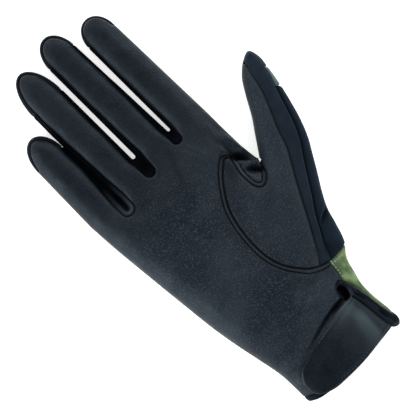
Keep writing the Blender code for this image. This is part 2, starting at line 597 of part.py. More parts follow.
def main():
    clear_scene()
    rim = Rim()
    knuckles = smooth(plan(KNUCKLE_SEAM), SEAM_STEP * 1.5)
    mouth = smooth(plan(MOUTH), SEAM_STEP * 1.5)
    hem_top = mouth + (0.0, HEM_WIDTH)
    rim.add_mark("hem_left", hem_top[0])
    rim.add_mark("hem_right", hem_top[-1])
    rim.add_mark("knuckle_left", knuckles[0])
    rim.add_mark("knuckle_right", knuckles[-1])
    rim.add_mark("leather_tip", on_thumb([0.955], [-0.040])[0])
    rim.add_mark("patch_tip", on_thumb([PATCH_TO], [0.067])[0])
    rim.add_mark("patch_foot", on_thumb([PATCH_FROM], [0.097])[0])
    hem_top[0], hem_top[-1] = rim.marks["hem_left"], rim.marks["hem_right"]
    mouth[0], mouth[-1] = rim.marks["left_start"], rim.marks["wrist_end"]
    knuckles[0], knuckles[-1] = rim.marks["knuckle_left"], rim.marks["knuckle_right"]
    crotch, foot = rim.marks["thumb_start"], rim.marks["thumb_end"]

    # Seams of the thumb.
    foot_run = smooth(np.concatenate([[foot], plan([(0.207, 0.081), STRIP_FOOT])]), SEAM_STEP)
    strip_run = smooth(plan([STRIP_FOOT, WRIST_SEAM[0]]), SEAM_STEP)
    wrist_run = smooth(plan([WRIST_SEAM[0], LEATHER_FOOT]), SEAM_STEP)
    ball_run = smooth(plan(BALL_SEAM), QUIRK_STEP)
    ball_run[-1] = crotch
    leather_line = thumb_line(3, 0.94, 0.02, SEAM_STEP)
    leather_line = np.concatenate([[rim.marks["leather_tip"]], leather_line, plan([LEATHER_FOOT])])
    strip_line = thumb_line(4, PATCH_TO, 0.02, SEAM_STEP)
    strip_line = np.concatenate([strip_line, plan([STRIP_FOOT])])
    patch_step = on_thumb([PATCH_FROM], through_rows(np.array([PATCH_FROM]), THUMB, 4))[0]
    above = (strip_line - patch_step) @ thumb_axis()[1] > 0.0012
    patch_line = np.concatenate([strip_line[above], [patch_step]])
    below = (strip_line - patch_step) @ thumb_axis()[1] < -0.0012
    back_line = np.concatenate([[patch_step], strip_line[below]])
    patch_under = on_thumb([PATCH_FROM, PATCH_TO], [0.097 - PATCH_WRAP, 0.067 - 0.7 * PATCH_WRAP])
    back_thumb = smooth(plan(BACK_THUMB_SEAM), SEAM_STEP * 1.3)
    back_thumb[0], back_thumb[-1] = foot, crotch

    # Seams of the fingers.
    tips = {name: tip_edge(name) for name in FINGERS}
    leather_gaps, back_gaps, starts = [], [], []
    back = BACK_INSET / GLOVE_LENGTH
    for left, right, gap_foot, leather_foot, *insets in CROTCHES:
        ends = (FINGERS[left][8], FINGERS[right][6])
        leather_gaps.append(crotch_edge(left, right, gap_foot, leather_foot, insets, ends))
        low = gap_foot - BACK_CROTCH / GLOVE_LENGTH
        back_gaps.append(crotch_edge(left, right, gap_foot, low, (back, back), (back, back)))
        starts.append((rim.marks[left + "_tip_end"], rim.marks[right + "_tip_start"]))

    # The wrist's slit and tab.
    wrist_seam = smooth(plan(WRIST_SEAM), SEAM_STEP)
    slit_edge = smooth(plan(SLIT_EDGE), SEAM_STEP)
    at = int(np.argmin(np.linalg.norm(hem_top - slit_edge[-1], axis=1)))
    hem_top[at] = slit_edge[-1]
    mouth_at = int(np.argmin(np.abs(mouth[:, 0] - slit_edge[-1, 0])))
    binding_outside = smooth(plan(BINDING_OUTSIDE), 0.0025)
    binding_right = smooth(plan(BINDING_RIGHT), SEAM_STEP)
    binding_left = smooth(plan(BINDING_LEFT), SEAM_STEP)
    binding_end = smooth(plan(BINDING_END), 0.0025)
    binding_end[0] = rim.marks["wrist_end"]
    binding_inside = smooth(plan(BINDING_INSIDE), 0.0016)
    tab_edge = smooth(plan(TAB_EDGE), SEAM_STEP)

    # Leather pieces.
    fronts = []
    for name, gap in zip(FINGERS, leather_gaps + [None]):
        fronts.append(tips[name])
        if gap is not None:
            fronts.append(gap)
    front = np.concatenate(fronts)
    keep = np.linalg.norm(np.diff(front, axis=0, prepend=front[:1] - 1.0), axis=1) > 1e-5
    front = np.concatenate([[rim.marks["little_tip_start"]], front[keep], [rim.marks["index_tip_end"]]])
    palm = Sheet(
        rim, 1,
        [
            rim.run("hem_left", "little_tip_start"), front, rim.run("index_tip_end", "thumb_start"),
            ball_run[::-1], wrist_run[::-1], wrist_seam, binding_outside[::-1], slit_edge,
            hem_top[: at + 1][::-1],
        ],
    )
    add_piece(rim, "palm_panel", "black_leather", [palm], LEATHER)
    thumb_front = Sheet(rim, 1, [rim.run("thumb_start", "leather_tip"), leather_line, ball_run])
    add_piece(rim, "thumb_panel", "black_leather", [thumb_front], LEATHER)
    tab = Sheet(rim, 1, [tab_edge, binding_left])
    add_piece(rim, "closure_tab", "black_leather", [tab], TAB_THICKNESS, TAB_LIFT + TAB_THICKNESS)

    # Fabric pieces of the thumb.
    patch_tip, patch_foot = rim.marks["patch_tip"], rim.marks["patch_foot"]
    strip = Sheet(
        rim, 1,
        [
            rim.run("leather_tip", "patch_tip"), np.concatenate([[patch_tip], strip_line]),
            join(strip_run, wrist_run), leather_line[::-1],
        ],
    )
    add_piece(rim, "thumb_side_strip", "navy_stretch_fabric", [strip], FABRIC)
    patch_run = rim.run("patch_tip", "patch_foot")
    patch = [
        Sheet(rim, 1, [patch_run, np.concatenate([[patch_foot], patch_line[::-1], [patch_tip]])]),
        Sheet(rim, -1, [patch_run, np.concatenate([[patch_foot], patch_under, [patch_tip]])]),
    ]
    add_piece(rim, "thumb_tip_patch", "grey_green_fabric", patch, FABRIC)
    under = np.concatenate([[patch_tip], patch_under[::-1], [patch_foot]])
    back_run = rim.run("patch_foot", "thumb_end")
    thumb_back = [
        Sheet(rim, 1, [back_run, foot_run, back_line[::-1], np.array([patch_step, patch_foot])]),
        Sheet(rim, -1, [rim.run("thumb_start", "patch_tip"), under, back_run, back_thumb]),
    ]
    add_piece(rim, "thumb_back", "light_navy_fabric", thumb_back, FABRIC)

    # Back of the hand and of the fingers.
    wrist_front = Sheet(
        rim, 1,
        [rim.run("wrist_start", "hem_right"),
         np.concatenate([[rim.marks["hem_right"]], binding_right[::-1]]), wrist_seam[::-1],
         join(strip_run[::-1], foot_run[::-1])],
    )
    hand_back = Sheet(
        rim, -1,
        [rim.run("hem_left", "knuckle_left"), knuckles, rim.run("knuckle_right", "thumb_start"),
         back_thumb[::-1], rim.run("wrist_start", "hem_right"), hem_top[::-1]],
    )
    add_piece(rim, "back_panel", "olive_fabric", [wrist_front, hand_back], FABRIC)
    sheets = []
    backs = [rim.run("knuckle_left", "little_tip_end")]
    for name in FINGERS:
        tip_run = rim.run(name + "_tip_start", name + "_tip_end")
        ends = rim.points[[tip_run[-1]]], rim.points[[tip_run[0]]]
        sheets.append(Sheet(rim, 1, [tip_run, np.concatenate([ends[0], tips[name][::-1], ends[1]])]))
    for (left, right, *_), gap, (start, end) in zip(CROTCHES, back_gaps, starts):
        backs.append(np.concatenate([[start], gap, [end]]))
        last = "knuckle_right" if right == "index" else right + "_tip_end"
        backs.append(rim.run(right + "_tip_start", last))
    backs.append(knuckles[::-1])
    sheets.append(Sheet(rim, -1, backs))
    add_piece(rim, "finger_backs", "black_fabric", sheets, FABRIC)
    for (left, right, *_), *seams, (start, end) in zip(CROTCHES, leather_gaps, back_gaps, starts):
        gap_run = rim.run(left + "_tip_end", right + "_tip_start")
        strips = [
            Sheet(rim, side, [gap_run, np.concatenate([[end], seam[::-1], [start]])])
            for side, seam in zip((1, -1), seams)
        ]
        add_piece(rim, f"fourchette_{left}_{right}", "black_fabric", strips, FABRIC)

    # Binding and hem.
    binding = Sheet(
        rim, 1,
        [binding_outside, np.concatenate([binding_right, [rim.marks["hem_right"]]]),
         rim.run("hem_right", "wrist_end"), binding_end, binding_left, binding_inside,
         plan([BINDING_INSIDE[-1], BINDING_OUTSIDE[0]])],
    )
    add_piece(rim, "slit_binding", "black_binding", [binding], BINDING_THICKNESS, BINDING_RAISE)
    hem = [
        Sheet(rim, 1, [rim.run("left_start", "hem_left"), hem_top[: at + 1],
                       np.array([hem_top[at], mouth[mouth_at]]), mouth[: mouth_at + 1][::-1]]),
        Sheet(rim, -1, [rim.run("left_start", "hem_left"), hem_top, rim.run("hem_right", "wrist_end"),
                        mouth[::-1]]),
    ]
    add_piece(rim, "cuff_hem", "black_binding", hem, HEM_THICKNESS)


main()
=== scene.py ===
"""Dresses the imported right-hand riding glove in leather, stretch cloth, bindings and stitches.

The glove lies on its back with the palm up: +Y runs to the fingertips, +X to the thumb and +Z up, in metres.
Every piece is a sheet over one inflated hand form, whose height is a function of the place in plan. All
heights are worked out as whole arrays. Each piece stands for the plain solid of its own pattern piece.
"""

import json
import logging
from dataclasses import dataclass, field, replace
from enum import Enum, IntEnum
from itertools import accumulate

import bpy
import numpy as np
from mathutils import Matrix
from mathutils.geometry import delaunay_2d_cdt

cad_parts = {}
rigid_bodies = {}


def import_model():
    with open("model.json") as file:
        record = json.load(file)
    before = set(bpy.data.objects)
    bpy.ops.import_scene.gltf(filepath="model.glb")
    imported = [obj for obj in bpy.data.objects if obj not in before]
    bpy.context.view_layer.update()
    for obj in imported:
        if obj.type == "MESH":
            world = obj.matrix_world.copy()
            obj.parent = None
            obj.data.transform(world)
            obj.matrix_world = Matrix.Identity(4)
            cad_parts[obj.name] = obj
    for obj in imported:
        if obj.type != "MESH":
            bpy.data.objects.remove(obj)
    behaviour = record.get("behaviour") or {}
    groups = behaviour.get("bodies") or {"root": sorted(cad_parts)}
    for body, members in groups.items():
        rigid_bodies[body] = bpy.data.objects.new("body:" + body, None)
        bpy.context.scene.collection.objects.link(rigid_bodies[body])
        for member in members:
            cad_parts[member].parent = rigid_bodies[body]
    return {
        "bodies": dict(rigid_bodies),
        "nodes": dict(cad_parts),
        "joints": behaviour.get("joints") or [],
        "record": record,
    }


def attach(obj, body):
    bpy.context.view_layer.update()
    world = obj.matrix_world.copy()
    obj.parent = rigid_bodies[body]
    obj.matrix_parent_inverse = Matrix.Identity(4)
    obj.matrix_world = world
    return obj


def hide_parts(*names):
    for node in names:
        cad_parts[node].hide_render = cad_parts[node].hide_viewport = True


LOG = logging.getLogger("riding_glove")
# from the cuff to the middle fingertip, and the palm's depth, in metres
GLOVE_LENGTH = 0.2404
PALM_DEPTH = 0.0200
# steps along the hand's edge, along seams and along rows of stitches, in metres
EDGE_STEP = 0.0013
SEAM_STEP = 0.0009
PATH_STEP = 0.0005
# how far inside an outline its rings lie, in metres, and the share of that which a ring's points must keep
RINGS = (0.00005, 0.0002, 0.0005, 0.0009, 0.0014, 0.0020, 0.0028)
RING_SLACK = 0.93
# the field inside the rings: the step within a row, and the rise from row to row as a share of it
FIELD_STEP = 0.00115
ROW_RISE = 0.87
# the gap between two sheets at a seam, and the distance under which two places are one, in metres
JOIN_GAP = 0.00008
TOUCH = 1e-6
# points laid for each given point while a curve is smoothed
FINE_STEPS = 90
# depths that count as fully creased, where the painted shade in the creases is full, in metres
DEEP_FOLD = 0.0012
DEEP_SEAM = 0.0008
# how far the back's cloth is kept from the palm's on the unrolled sheet, in metres
BACK_SHIFT = 0.5
# more points than the hand's edge has, and the most distances worked out at once
MOST_POINTS = 100_000
BLOCK = 4_000_000
# a stitch's sides, and its rings as shares of half its length
BEAD_SIDES = 6
BEAD_RINGS = (-1.0, -0.75, 0.0, 0.75, 1.0)
# an edge that turns by more than this is shaded as an edge
SHARP_DEGREES = 55
SHEEN_ROUGHNESS = 0.45
# a wave texture of scale s has a band every pi / 10 / s metres
WAVE_PERIODS = 10
Array = np.ndarray
Colour = tuple[float, float, float]
Table = tuple[tuple[float, ...], ...]
Socket = bpy.types.NodeSocket


class Side(Enum):
    """The face of the glove that a sheet lies on."""

    PALM = 1
    BACK = -1


class Edge(IntEnum):
    """A column of the thumb's table, after the place along it."""

    INNER = 1
    OUTER = 2
    LEATHER = 3
    STRIP = 4


class Rule(Enum):
    """How two values of a finish are combined."""

    ADD = "ADD"
    MULTIPLY = "MULTIPLY"
    MAXIMUM = "MAXIMUM"


class Weave(Enum):
    """How a cloth is made, which sets the relief of its threads."""

    PLAIN = "plain"
    RIB = "rib"
    KNIT = "knit"


def plan(rows: Array) -> Array:
    """Turns shares of the glove's length into places in plan.

    Args:
        rows: (along, across) shares, along from the cuff and across from the middle of the glove's box.

    Returns:
        The x and y of each row in metres.
    """
    rows = np.asarray(rows, float).reshape(-1, 2)
    return np.stack([rows[:, 1], rows[:, 0] - 0.5], axis=1) * GLOVE_LENGTH


def through_rows(at: Array, rows: Array, column: int) -> Array:
    """Reads a smooth curve through one column of a table.

    Between two rows the value is the cubic that meets both rows' values and slopes.

    Args:
        at: Places along the table's first column.
        rows: The table.
        column: The column to read.

    Returns:
        The column's value at each place.
    """
    rows = np.asarray(rows, float)
    places, values = rows[:, 0], rows[:, column]
    slopes = np.gradient(values, places)
    at = np.clip(at, places[0], places[-1])
    row = np.clip(np.searchsorted(places, at, side="right") - 1, 0, len(places) - 2)
    width = places[row + 1] - places[row]
    t = (at - places[row]) / width
    return (
        (2 * t**3 - 3 * t**2 + 1) * values[row]
        + (t**3 - 2 * t**2 + t) * width * slopes[row]
        + (3 * t**2 - 2 * t**3) * values[row + 1]
        + (t**3 - t**2) * width * slopes[row + 1]
    )


def run_length(points: Array) -> Array:
    """Gives the length of a curve up to each of its points.

    Args:
        points: The curve's points.

    Returns:
        The sum of the steps up to each point.
    """
    return np.concatenate([[0.0], np.cumsum(np.linalg.norm(np.diff(points, axis=0), axis=1))])


def smooth(points: Array, step: float) -> Array:
    """Carries a smooth curve through points and cuts it into even steps.

    Args:
        points: The points to pass through.
        step: The distance between the new points.

    Returns:
        Points about one step apart.
    """
    points = np.asarray(points, float)
    run = run_length(points)
    fine = np.linspace(0.0, run[-1], FINE_STEPS * len(points))
    columns = [through_rows(fine, np.stack([run, values], axis=1), 1) for values in points.T]
    dense = np.stack(columns, axis=1)
    length = run_length(dense)
    places = np.linspace(0.0, length[-1], max(2, int(round(length[-1] / step)) + 1))
    return np.stack([np.interp(places, length, values) for values in dense.T], axis=1)


def join(*curves: Array) -> Array:
    """Joins curves that follow on from each other and drops the points that they share.

    Args:
        curves: The curves in order.

    Returns:
        One curve.
    """
    whole = np.concatenate(curves)
    step = np.linalg.norm(np.diff(whole, axis=0, prepend=whole[:1] - 1.0), axis=1)
    return whole[step > TOUCH]


def ramp(value: Array, low: float, high: float) -> Array:
    """Rises smoothly from 0 below low to 1 above high, as t squared times (3 - 2t).

    Args:
        value: The values to judge.
        low: Where the rise starts.
        high: Where it ends.

    Returns:
        Shares from 0 to 1.
    """
    t = np.clip((value - low) / (high - low), 0.0, 1.0)
    return t * t * (3 - 2 * t)


def to_polyline(points: Array, start: Array, end: Array) -> tuple[Array, Array, Array]:
    """Finds the nearest place on a set of straight pieces, a block of points at a time.

    Args:
        points: Places in plan.
        start: The first end of each straight piece.
        end: The other end of each.

    Returns:
        The distance, the unit direction away from the nearest place, and the number of the nearest piece.
    """
    run = end - start
    square = np.maximum((run**2).sum(axis=1), 1e-18)
    found = []
    for block in np.array_split(points, len(points) * len(start) // BLOCK + 1):
        off_x = block[:, None, 0] - start[:, 0]
        off_y = block[:, None, 1] - start[:, 1]
        t = np.clip((off_x * run[:, 0] + off_y * run[:, 1]) / square, 0.0, 1.0)
        off_x = off_x - t * run[:, 0]
        off_y = off_y - t * run[:, 1]
        distance = off_x**2 + off_y**2
        nearest = distance.argmin(axis=1)
        row = np.arange(len(block))
        found.append(np.stack([off_x[row, nearest], off_y[row, nearest], nearest], axis=1))
    found = np.concatenate(found)
    depth = np.linalg.norm(found[:, :2], axis=1)
    return depth, found[:, :2] / np.maximum(depth, 1e-12)[:, None], found[:, 2].astype(int)


@dataclass(frozen=True)
class Finger:
    """A finger in plan, as shares of the glove's length; the insets are the dark cloth beside the leather."""

    root_across: float
    tip_across: float
    tip_along: float
    root_half: float
    tip_half: float
    tip_length: float
    left: float
    top: float
    right: float
    root_along: float = 0.630
    tip_points: int = 34
    inset_places: tuple[float, ...] = (0.0, 0.3, 0.7, 1.0)

    def side(self, turn: int, along: Array) -> Array:
        """Gives points on the finger's straight edge, whose offset from the axis changes evenly to the tip.

        Args:
            turn: -1 for the left edge and +1 for the right.
            along: Shares along the glove.

        Returns:
            Places in plan.
        """
        run = self.tip_along - self.tip_length - self.root_along
        t = (np.asarray(along, float) - self.root_along) / run
        middle = self.root_across + (self.tip_across - self.root_across) * t
        half = self.root_half + (self.tip_half - self.root_half) * t
        return plan(np.stack([along, middle + turn * half], axis=1))

    def tip(self) -> Array:
        """Gives the half ellipse of the fingertip.

        Returns:
            Places in plan from left to right.
        """
        turn = np.linspace(np.pi, 0.0, self.tip_points)
        along = self.tip_along - self.tip_length + self.tip_length * np.sin(turn)
        return plan(np.stack([along, self.tip_across + self.tip_half * np.cos(turn)], axis=1))

    def tip_edge(self) -> Array:
        """Gives the leather's edge round the fingertip: the half ellipse moved inwards by the insets.

        Returns:
            Places in plan from left to right.
        """
        tip = self.tip()
        run = np.gradient(tip, axis=0)
        inward = np.stack([run[:, 1], -run[:, 0]], axis=1)
        inward[[0, -1]] = (1.0, 0.0), (-1.0, 0.0)
        inward /= np.linalg.norm(inward, axis=1)[:, None]
        places = np.linspace(0.0, 1.0, self.tip_points)
        inset = np.interp(places, self.inset_places, (self.left, self.top, self.top, self.right))
        return tip + inward * inset[:, None] * GLOVE_LENGTH

    def places(self, foot: float) -> Array:
        """Gives even places along the finger from the foot of its gap to its rounded tip."""
        top = self.tip_along - self.tip_length
        return np.linspace(foot, top, int(round((top - foot) * GLOVE_LENGTH / EDGE_STEP)) + 1)


@dataclass(frozen=True)
class Crotch:
    """Where two fingers part, as shares of the glove's length."""

    left: str
    right: str
    gap_foot: float
    leather_foot: float
    left_inset: float
    right_inset: float


@dataclass
class ThumbCut:
    """The thumb in plan: an axis, and rows of edges and seams as shares of its length."""

    foot: tuple[float, float] = (0.246, 0.048)
    tip: tuple[float, float] = (0.663, 0.255)
    # along, inner edge, outer edge, leather's edge, side strip's edge
    rows: Table = (
        (0.00, -0.300, 0.148, 0.010, 0.051),
        (0.10, -0.250, 0.135, 0.015, 0.056),
        (0.17, -0.220, 0.122, 0.017, 0.060),
        (0.25, -0.190, 0.122, 0.019, 0.072),
        (0.35, -0.155, 0.131, 0.022, 0.082),
        (0.45, -0.120, 0.138, 0.028, 0.093),
        (0.50, -0.106, 0.142, 0.030, 0.101),
        (0.60, -0.094, 0.137, 0.018, 0.102),
        (0.70, -0.080, 0.120, 0.012, 0.088),
        (0.80, -0.075, 0.097, 0.003, 0.074),
        (0.90, -0.062, 0.067, -0.022, 0.056),
        (0.96, -0.035, 0.044, -0.029, 0.020),
        (1.00, 0.003, 0.003, 0.003, 0.003),
    )
    counts_along: tuple[float, float] = (0.25, 0.55)
    counts_across: tuple[float, float] = (-0.30, -0.13)
    crotch_row: int = 7
    leather_tip: tuple[float, float] = (0.955, -0.040)
    leather_from: float = 0.94
    seams_to: float = 0.02
    seam_points: int = 24
    patch_from: float = 0.80
    patch_to: float = 0.90
    patch_foot_across: float = 0.097
    patch_tip_across: float = 0.067
    patch_wrap: float = 0.040
    patch_wrap_at_tip: float = 0.7

    def __post_init__(self) -> None:
        """Works out the axis, its outward direction and its length."""
        self.start, end = plan([self.foot, self.tip])
        self.length = float(np.linalg.norm(end - self.start))
        self.direction = (end - self.start) / self.length
        self.outward = np.array([self.direction[1], -self.direction[0]])

    def at(self, along: Array, across: Array) -> Array:
        """Gives places in plan at shares of the length along and across the axis."""
        return self.start + self.length * (np.outer(along, self.direction) + np.outer(across, self.outward))

    def spot(self, along: float, across: float) -> Array:
        """Gives one place in plan."""
        return self.at([along], [across])[0]

    def line(self, column: Edge, start: float, end: float) -> Array:
        """Gives the smooth seam of one column between two places along the thumb."""
        places = np.linspace(start, end, self.seam_points)
        return smooth(self.at(places, through_rows(places, self.rows, column)), SEAM_STEP)

    def share(self, points: Array) -> tuple[Array, Array]:
        """Says where points lie on the thumb.

        Args:
            points: Places in plan.

        Returns:
            The share along the thumb, and how far each point counts as thumb, from 0 to 1.
        """
        along = (points - self.start) @ self.direction / self.length
        across = (points - self.start) @ self.outward / self.length
        return along, ramp(along, *self.counts_along) * ramp(across, *self.counts_across)


@dataclass
class Border:
    """A stretch of a sheet's outline: a seam, or numbered points of the hand's edge."""

    label: str
    points: Array
    numbers: Array | None = None


@dataclass
class Pattern:
    """The glove's pattern: the hand's edge in plan, and each seam, as curves."""

    thumb: ThumbCut = field(default_factory=ThumbCut)
    fingers: dict[str, Finger] = field(
        # across at the root and the tip, tip along, half breadths, tip length, insets left, top and right
        default_factory=lambda: {
            "little": Finger(-0.2222, -0.2222, 0.8630, 0.0423, 0.0392, 0.062, 0.0021, 0.0078, 0.0030),
            "ring": Finger(-0.1358, -0.1387, 0.9820, 0.0425, 0.0440, 0.090, 0.0085, 0.0055, 0.0055),
            "middle": Finger(-0.0385, -0.0447, 1.0000, 0.0452, 0.0390, 0.058, 0.0070, 0.0045, 0.0030),
            "index": Finger(0.0543, 0.0500, 0.9647, 0.0420, 0.0385, 0.050, 0.0040, 0.0030, 0.0021),
        }
    )
    crotches: tuple[Crotch, ...] = (
        Crotch("little", "ring", 0.630, 0.588, 0.0140, 0.0160),
        Crotch("ring", "middle", 0.676, 0.614, 0.0066, 0.0122),
        Crotch("middle", "index", 0.663, 0.623, 0.0118, 0.0068),
    )
    left_edge: Table = (
        (0.020, -0.196), (0.052, -0.196), (0.105, -0.198), (0.158, -0.208), (0.211, -0.219),
        (0.281, -0.231), (0.352, -0.239), (0.458, -0.250), (0.563, -0.260), (0.630, -0.2645),
    )
    right_edge: Table = ((0.473, 0.1040), (0.493, 0.1010), (0.521, 0.0980), (0.566, 0.0965), (0.630, 0.0963))
    wrist_edge: Table = (
        (0.018, 0.0755), (0.052, 0.073), (0.092, 0.069), (0.122, 0.070), (0.158, 0.079), (0.180, 0.085),
        (0.196, 0.094), (0.207, 0.105),
    )
    mouth_line: Table = (
        (0.020, -0.196), (0.012, -0.178), (0.005, -0.140), (0.000, -0.093), (0.001, -0.035), (0.006, 0.006),
        (0.013, 0.047), (0.018, 0.0755),
    )
    knuckle_line: Table = (
        (0.560, -0.2598), (0.570, -0.170), (0.575, -0.060), (0.570, 0.030), (0.566, 0.0965),
    )
    wrist_line: Table = ((0.209, 0.053), (0.184, 0.050), (0.158, 0.046))
    back_thumb_line: Table = (
        (0.207, 0.105), (0.260, 0.058), (0.330, 0.040), (0.400, 0.060), (0.440, 0.088), (0.473, 0.104),
    )
    foot_middle: tuple[float, float] = (0.207, 0.081)
    strip_foot: tuple[float, float] = (0.2075, 0.061)
    leather_foot: tuple[float, float] = (0.215, 0.031)
    ball_line: Table = (
        (0.215, 0.031), (0.228, 0.010), (0.246, -0.005), (0.265, -0.0188), (0.290, -0.0305), (0.323, -0.0373),
        (0.356, -0.0382), (0.389, -0.0352), (0.420, -0.0292), (0.450, -0.0185), (0.476, -0.0030),
        (0.502, 0.0165), (0.5205, 0.0355), (0.529, 0.049), (0.526, 0.058), (0.510, 0.059), (0.486, 0.054),
        (0.463, 0.053), (0.445, 0.055), (0.433, 0.062), (0.429, 0.073), (0.436, 0.085), (0.450, 0.096),
        (0.473, 0.104),
    )
    binding_outside_line: Table = (
        (0.128, 0.017), (0.140, 0.017), (0.153, 0.020), (0.163, 0.028), (0.165, 0.038), (0.158, 0.046),
    )
    binding_right_line: Table = (
        (0.158, 0.046), (0.136, 0.054), (0.107, 0.060), (0.056, 0.067), (0.0305, 0.0715),
    )
    binding_end_line: Table = (
        (0.018, 0.0755), (0.009, 0.0738), (0.002, 0.0690), (0.002, 0.0600), (0.010, 0.050),
    )
    binding_left_line: Table = ((0.010, 0.050), (0.047, 0.045), (0.083, 0.041), (0.122, 0.033))
    binding_inside_line: Table = (
        (0.122, 0.033), (0.131, 0.0372), (0.144, 0.0388), (0.1540, 0.0356), (0.1575, 0.0290),
        (0.1540, 0.0228), (0.146, 0.0200), (0.128, 0.0196),
    )
    slit_line: Table = ((0.128, 0.017), (0.090, 0.024), (0.050, 0.030), (0.0240, 0.033))
    tab_line: Table = (
        (0.122, 0.033), (0.120, -0.003), (0.114, -0.042), (0.105, -0.091), (0.093, -0.130),
        (0.080, -0.160), (0.061, -0.173), (0.043, -0.175), (0.025, -0.171), (0.013, -0.160),
        (0.004, -0.138), (0.000, -0.093), (0.001, -0.035), (0.006, 0.006), (0.010, 0.050),
    )
    hem_width: float = 0.0040
    back_inset: float = 0.0020
    back_crotch: float = 0.0050
    inset_run: float = 1.6
    closest_points: float = 0.35
    same_place: float = 0.0002
    arc_points: int = 9
    tight_step: float = 0.7

    def __post_init__(self) -> None:
        """Lays out the hand's edge, then its marks, then each seam."""
        self.marks: dict[str, Array] = {}
        self.edge = self.hand_edge()
        self.lay_cuff()
        self.lay_thumb()
        self.lay_fingers()
        self.lay_wrist()

    def crotch_arc(self, crotch: Crotch) -> Array:
        """Gives the half circle at the foot of the gap between two fingers.

        Args:
            crotch: The two fingers and the foot of their gap.

        Returns:
            Places in plan from left to right.
        """
        left = self.fingers[crotch.left].side(1, [crotch.gap_foot])[0]
        right = self.fingers[crotch.right].side(-1, [crotch.gap_foot])[0]
        radius = (right[0] - left[0]) / 2
        turn = np.linspace(np.pi, 2 * np.pi, self.arc_points)
        return (left + right) / 2 + radius * np.stack([np.cos(turn), np.sin(turn)], axis=1)

    def hand_edge(self) -> Array:
        """Joins the edge's stretches, from the cuff's left end over the fingers and the thumb to its right.

        Returns:
            The edge's points; the ends of each stretch are kept as marks.
        """
        stretches = [("left", smooth(plan(self.left_edge), EDGE_STEP))]
        for number, (name, finger) in enumerate(self.fingers.items()):
            left_foot = self.crotches[number - 1].gap_foot if number else finger.root_along
            last = number == len(self.crotches)
            right_foot = finger.root_along if last else self.crotches[number].gap_foot
            stretches.append((name + "_up", finger.side(-1, finger.places(left_foot))))
            stretches.append((name + "_tip", finger.tip()))
            stretches.append((name + "_down", finger.side(1, finger.places(right_foot)[::-1])))
            if not last:
                stretches.append((name + "_gap", self.crotch_arc(self.crotches[number])))
        stretches.append(("right", smooth(plan(self.right_edge)[::-1], EDGE_STEP)))
        rows = np.array(self.thumb.rows)
        inner = self.thumb.at(*rows[self.thumb.crotch_row :, [0, Edge.INNER]].T)
        outer = self.thumb.at(*rows[:-1, [0, Edge.OUTER]].T)[::-1]
        ends = plan([self.right_edge[0], self.wrist_edge[-1]])
        stretches.append(("thumb", smooth(np.concatenate([ends[:1], inner, outer, ends[1:]]), EDGE_STEP)))
        stretches.append(("wrist", smooth(plan(self.wrist_edge)[::-1], EDGE_STEP)))
        points = stretches[0][1][:1]
        for name, stretch in stretches:
            shared = np.linalg.norm(stretch[0] - points[-1]) < self.same_place
            self.marks[name + "_start"] = points[-1] if shared else stretch[0]
            points = np.concatenate([points, stretch[1:] if shared else stretch])
            self.marks[name + "_end"] = stretch[-1]
        return points

    def add_mark(self, name: str, near: Array) -> Array:
        """Puts a corner of the hand's edge at the place nearest to a point.

        Args:
            name: What to call the corner.
            near: The point to stay near.

        Returns:
            The corner's place.
        """
        _, _, number = to_polyline(near[None], self.edge[:-1], self.edge[1:])
        run = self.edge[number[0] + 1] - self.edge[number[0]]
        share = np.clip((near - self.edge[number[0]]) @ run / (run @ run), 0.0, 1.0)
        place = self.edge[number[0]] + run * share
        self.edge = np.insert(self.edge, number[0] + 1, place, axis=0)
        step = np.linalg.norm(np.diff(self.edge, axis=0), axis=1)
        fixed = np.array([*self.marks.values(), place])
        free = np.linalg.norm(self.edge[:, None] - fixed, axis=2).min(axis=1) > TOUCH
        close = np.minimum(np.append(step, 1.0), np.insert(step, 0, 1.0)) < self.closest_points * EDGE_STEP
        beside = np.abs(np.arange(len(self.edge)) - number[0] - 1) == 1
        self.edge = self.edge[~(free & close & beside)]
        self.marks[name] = place
        return place

    def number(self, mark: str) -> int:
        """Gives the number of the edge's point at a mark."""
        return int(np.argmin(np.linalg.norm(self.edge - self.marks[mark], axis=1)))

    def rim(self, start: str, end: str) -> Border:
        """Gives the hand's edge from one mark to another, either way round.

        Args:
            start: The mark to start from.
            end: The mark to end at.

        Returns:
            The stretch, with the numbers of its points.
        """
        first, last = self.number(start), self.number(end)
        numbers = np.arange(first, last + 1) if first <= last else np.arange(first, last - 1, -1)
        return Border("edge", self.edge[numbers], numbers)

    def lay_cuff(self) -> None:
        """Lays the cuff's mouth, the hem above it and the seam across the knuckles, and marks their ends."""
        self.knuckles = smooth(plan(self.knuckle_line), SEAM_STEP)
        self.mouth = smooth(plan(self.mouth_line), SEAM_STEP)
        self.hem_top = self.mouth + (0.0, self.hem_width)
        for name, curve in (("hem", self.hem_top), ("knuckle", self.knuckles)):
            curve[0] = self.add_mark(name + "_left", curve[0])
            curve[-1] = self.add_mark(name + "_right", curve[-1])
        self.mouth[0], self.mouth[-1] = self.marks["left_start"], self.marks["wrist_end"]

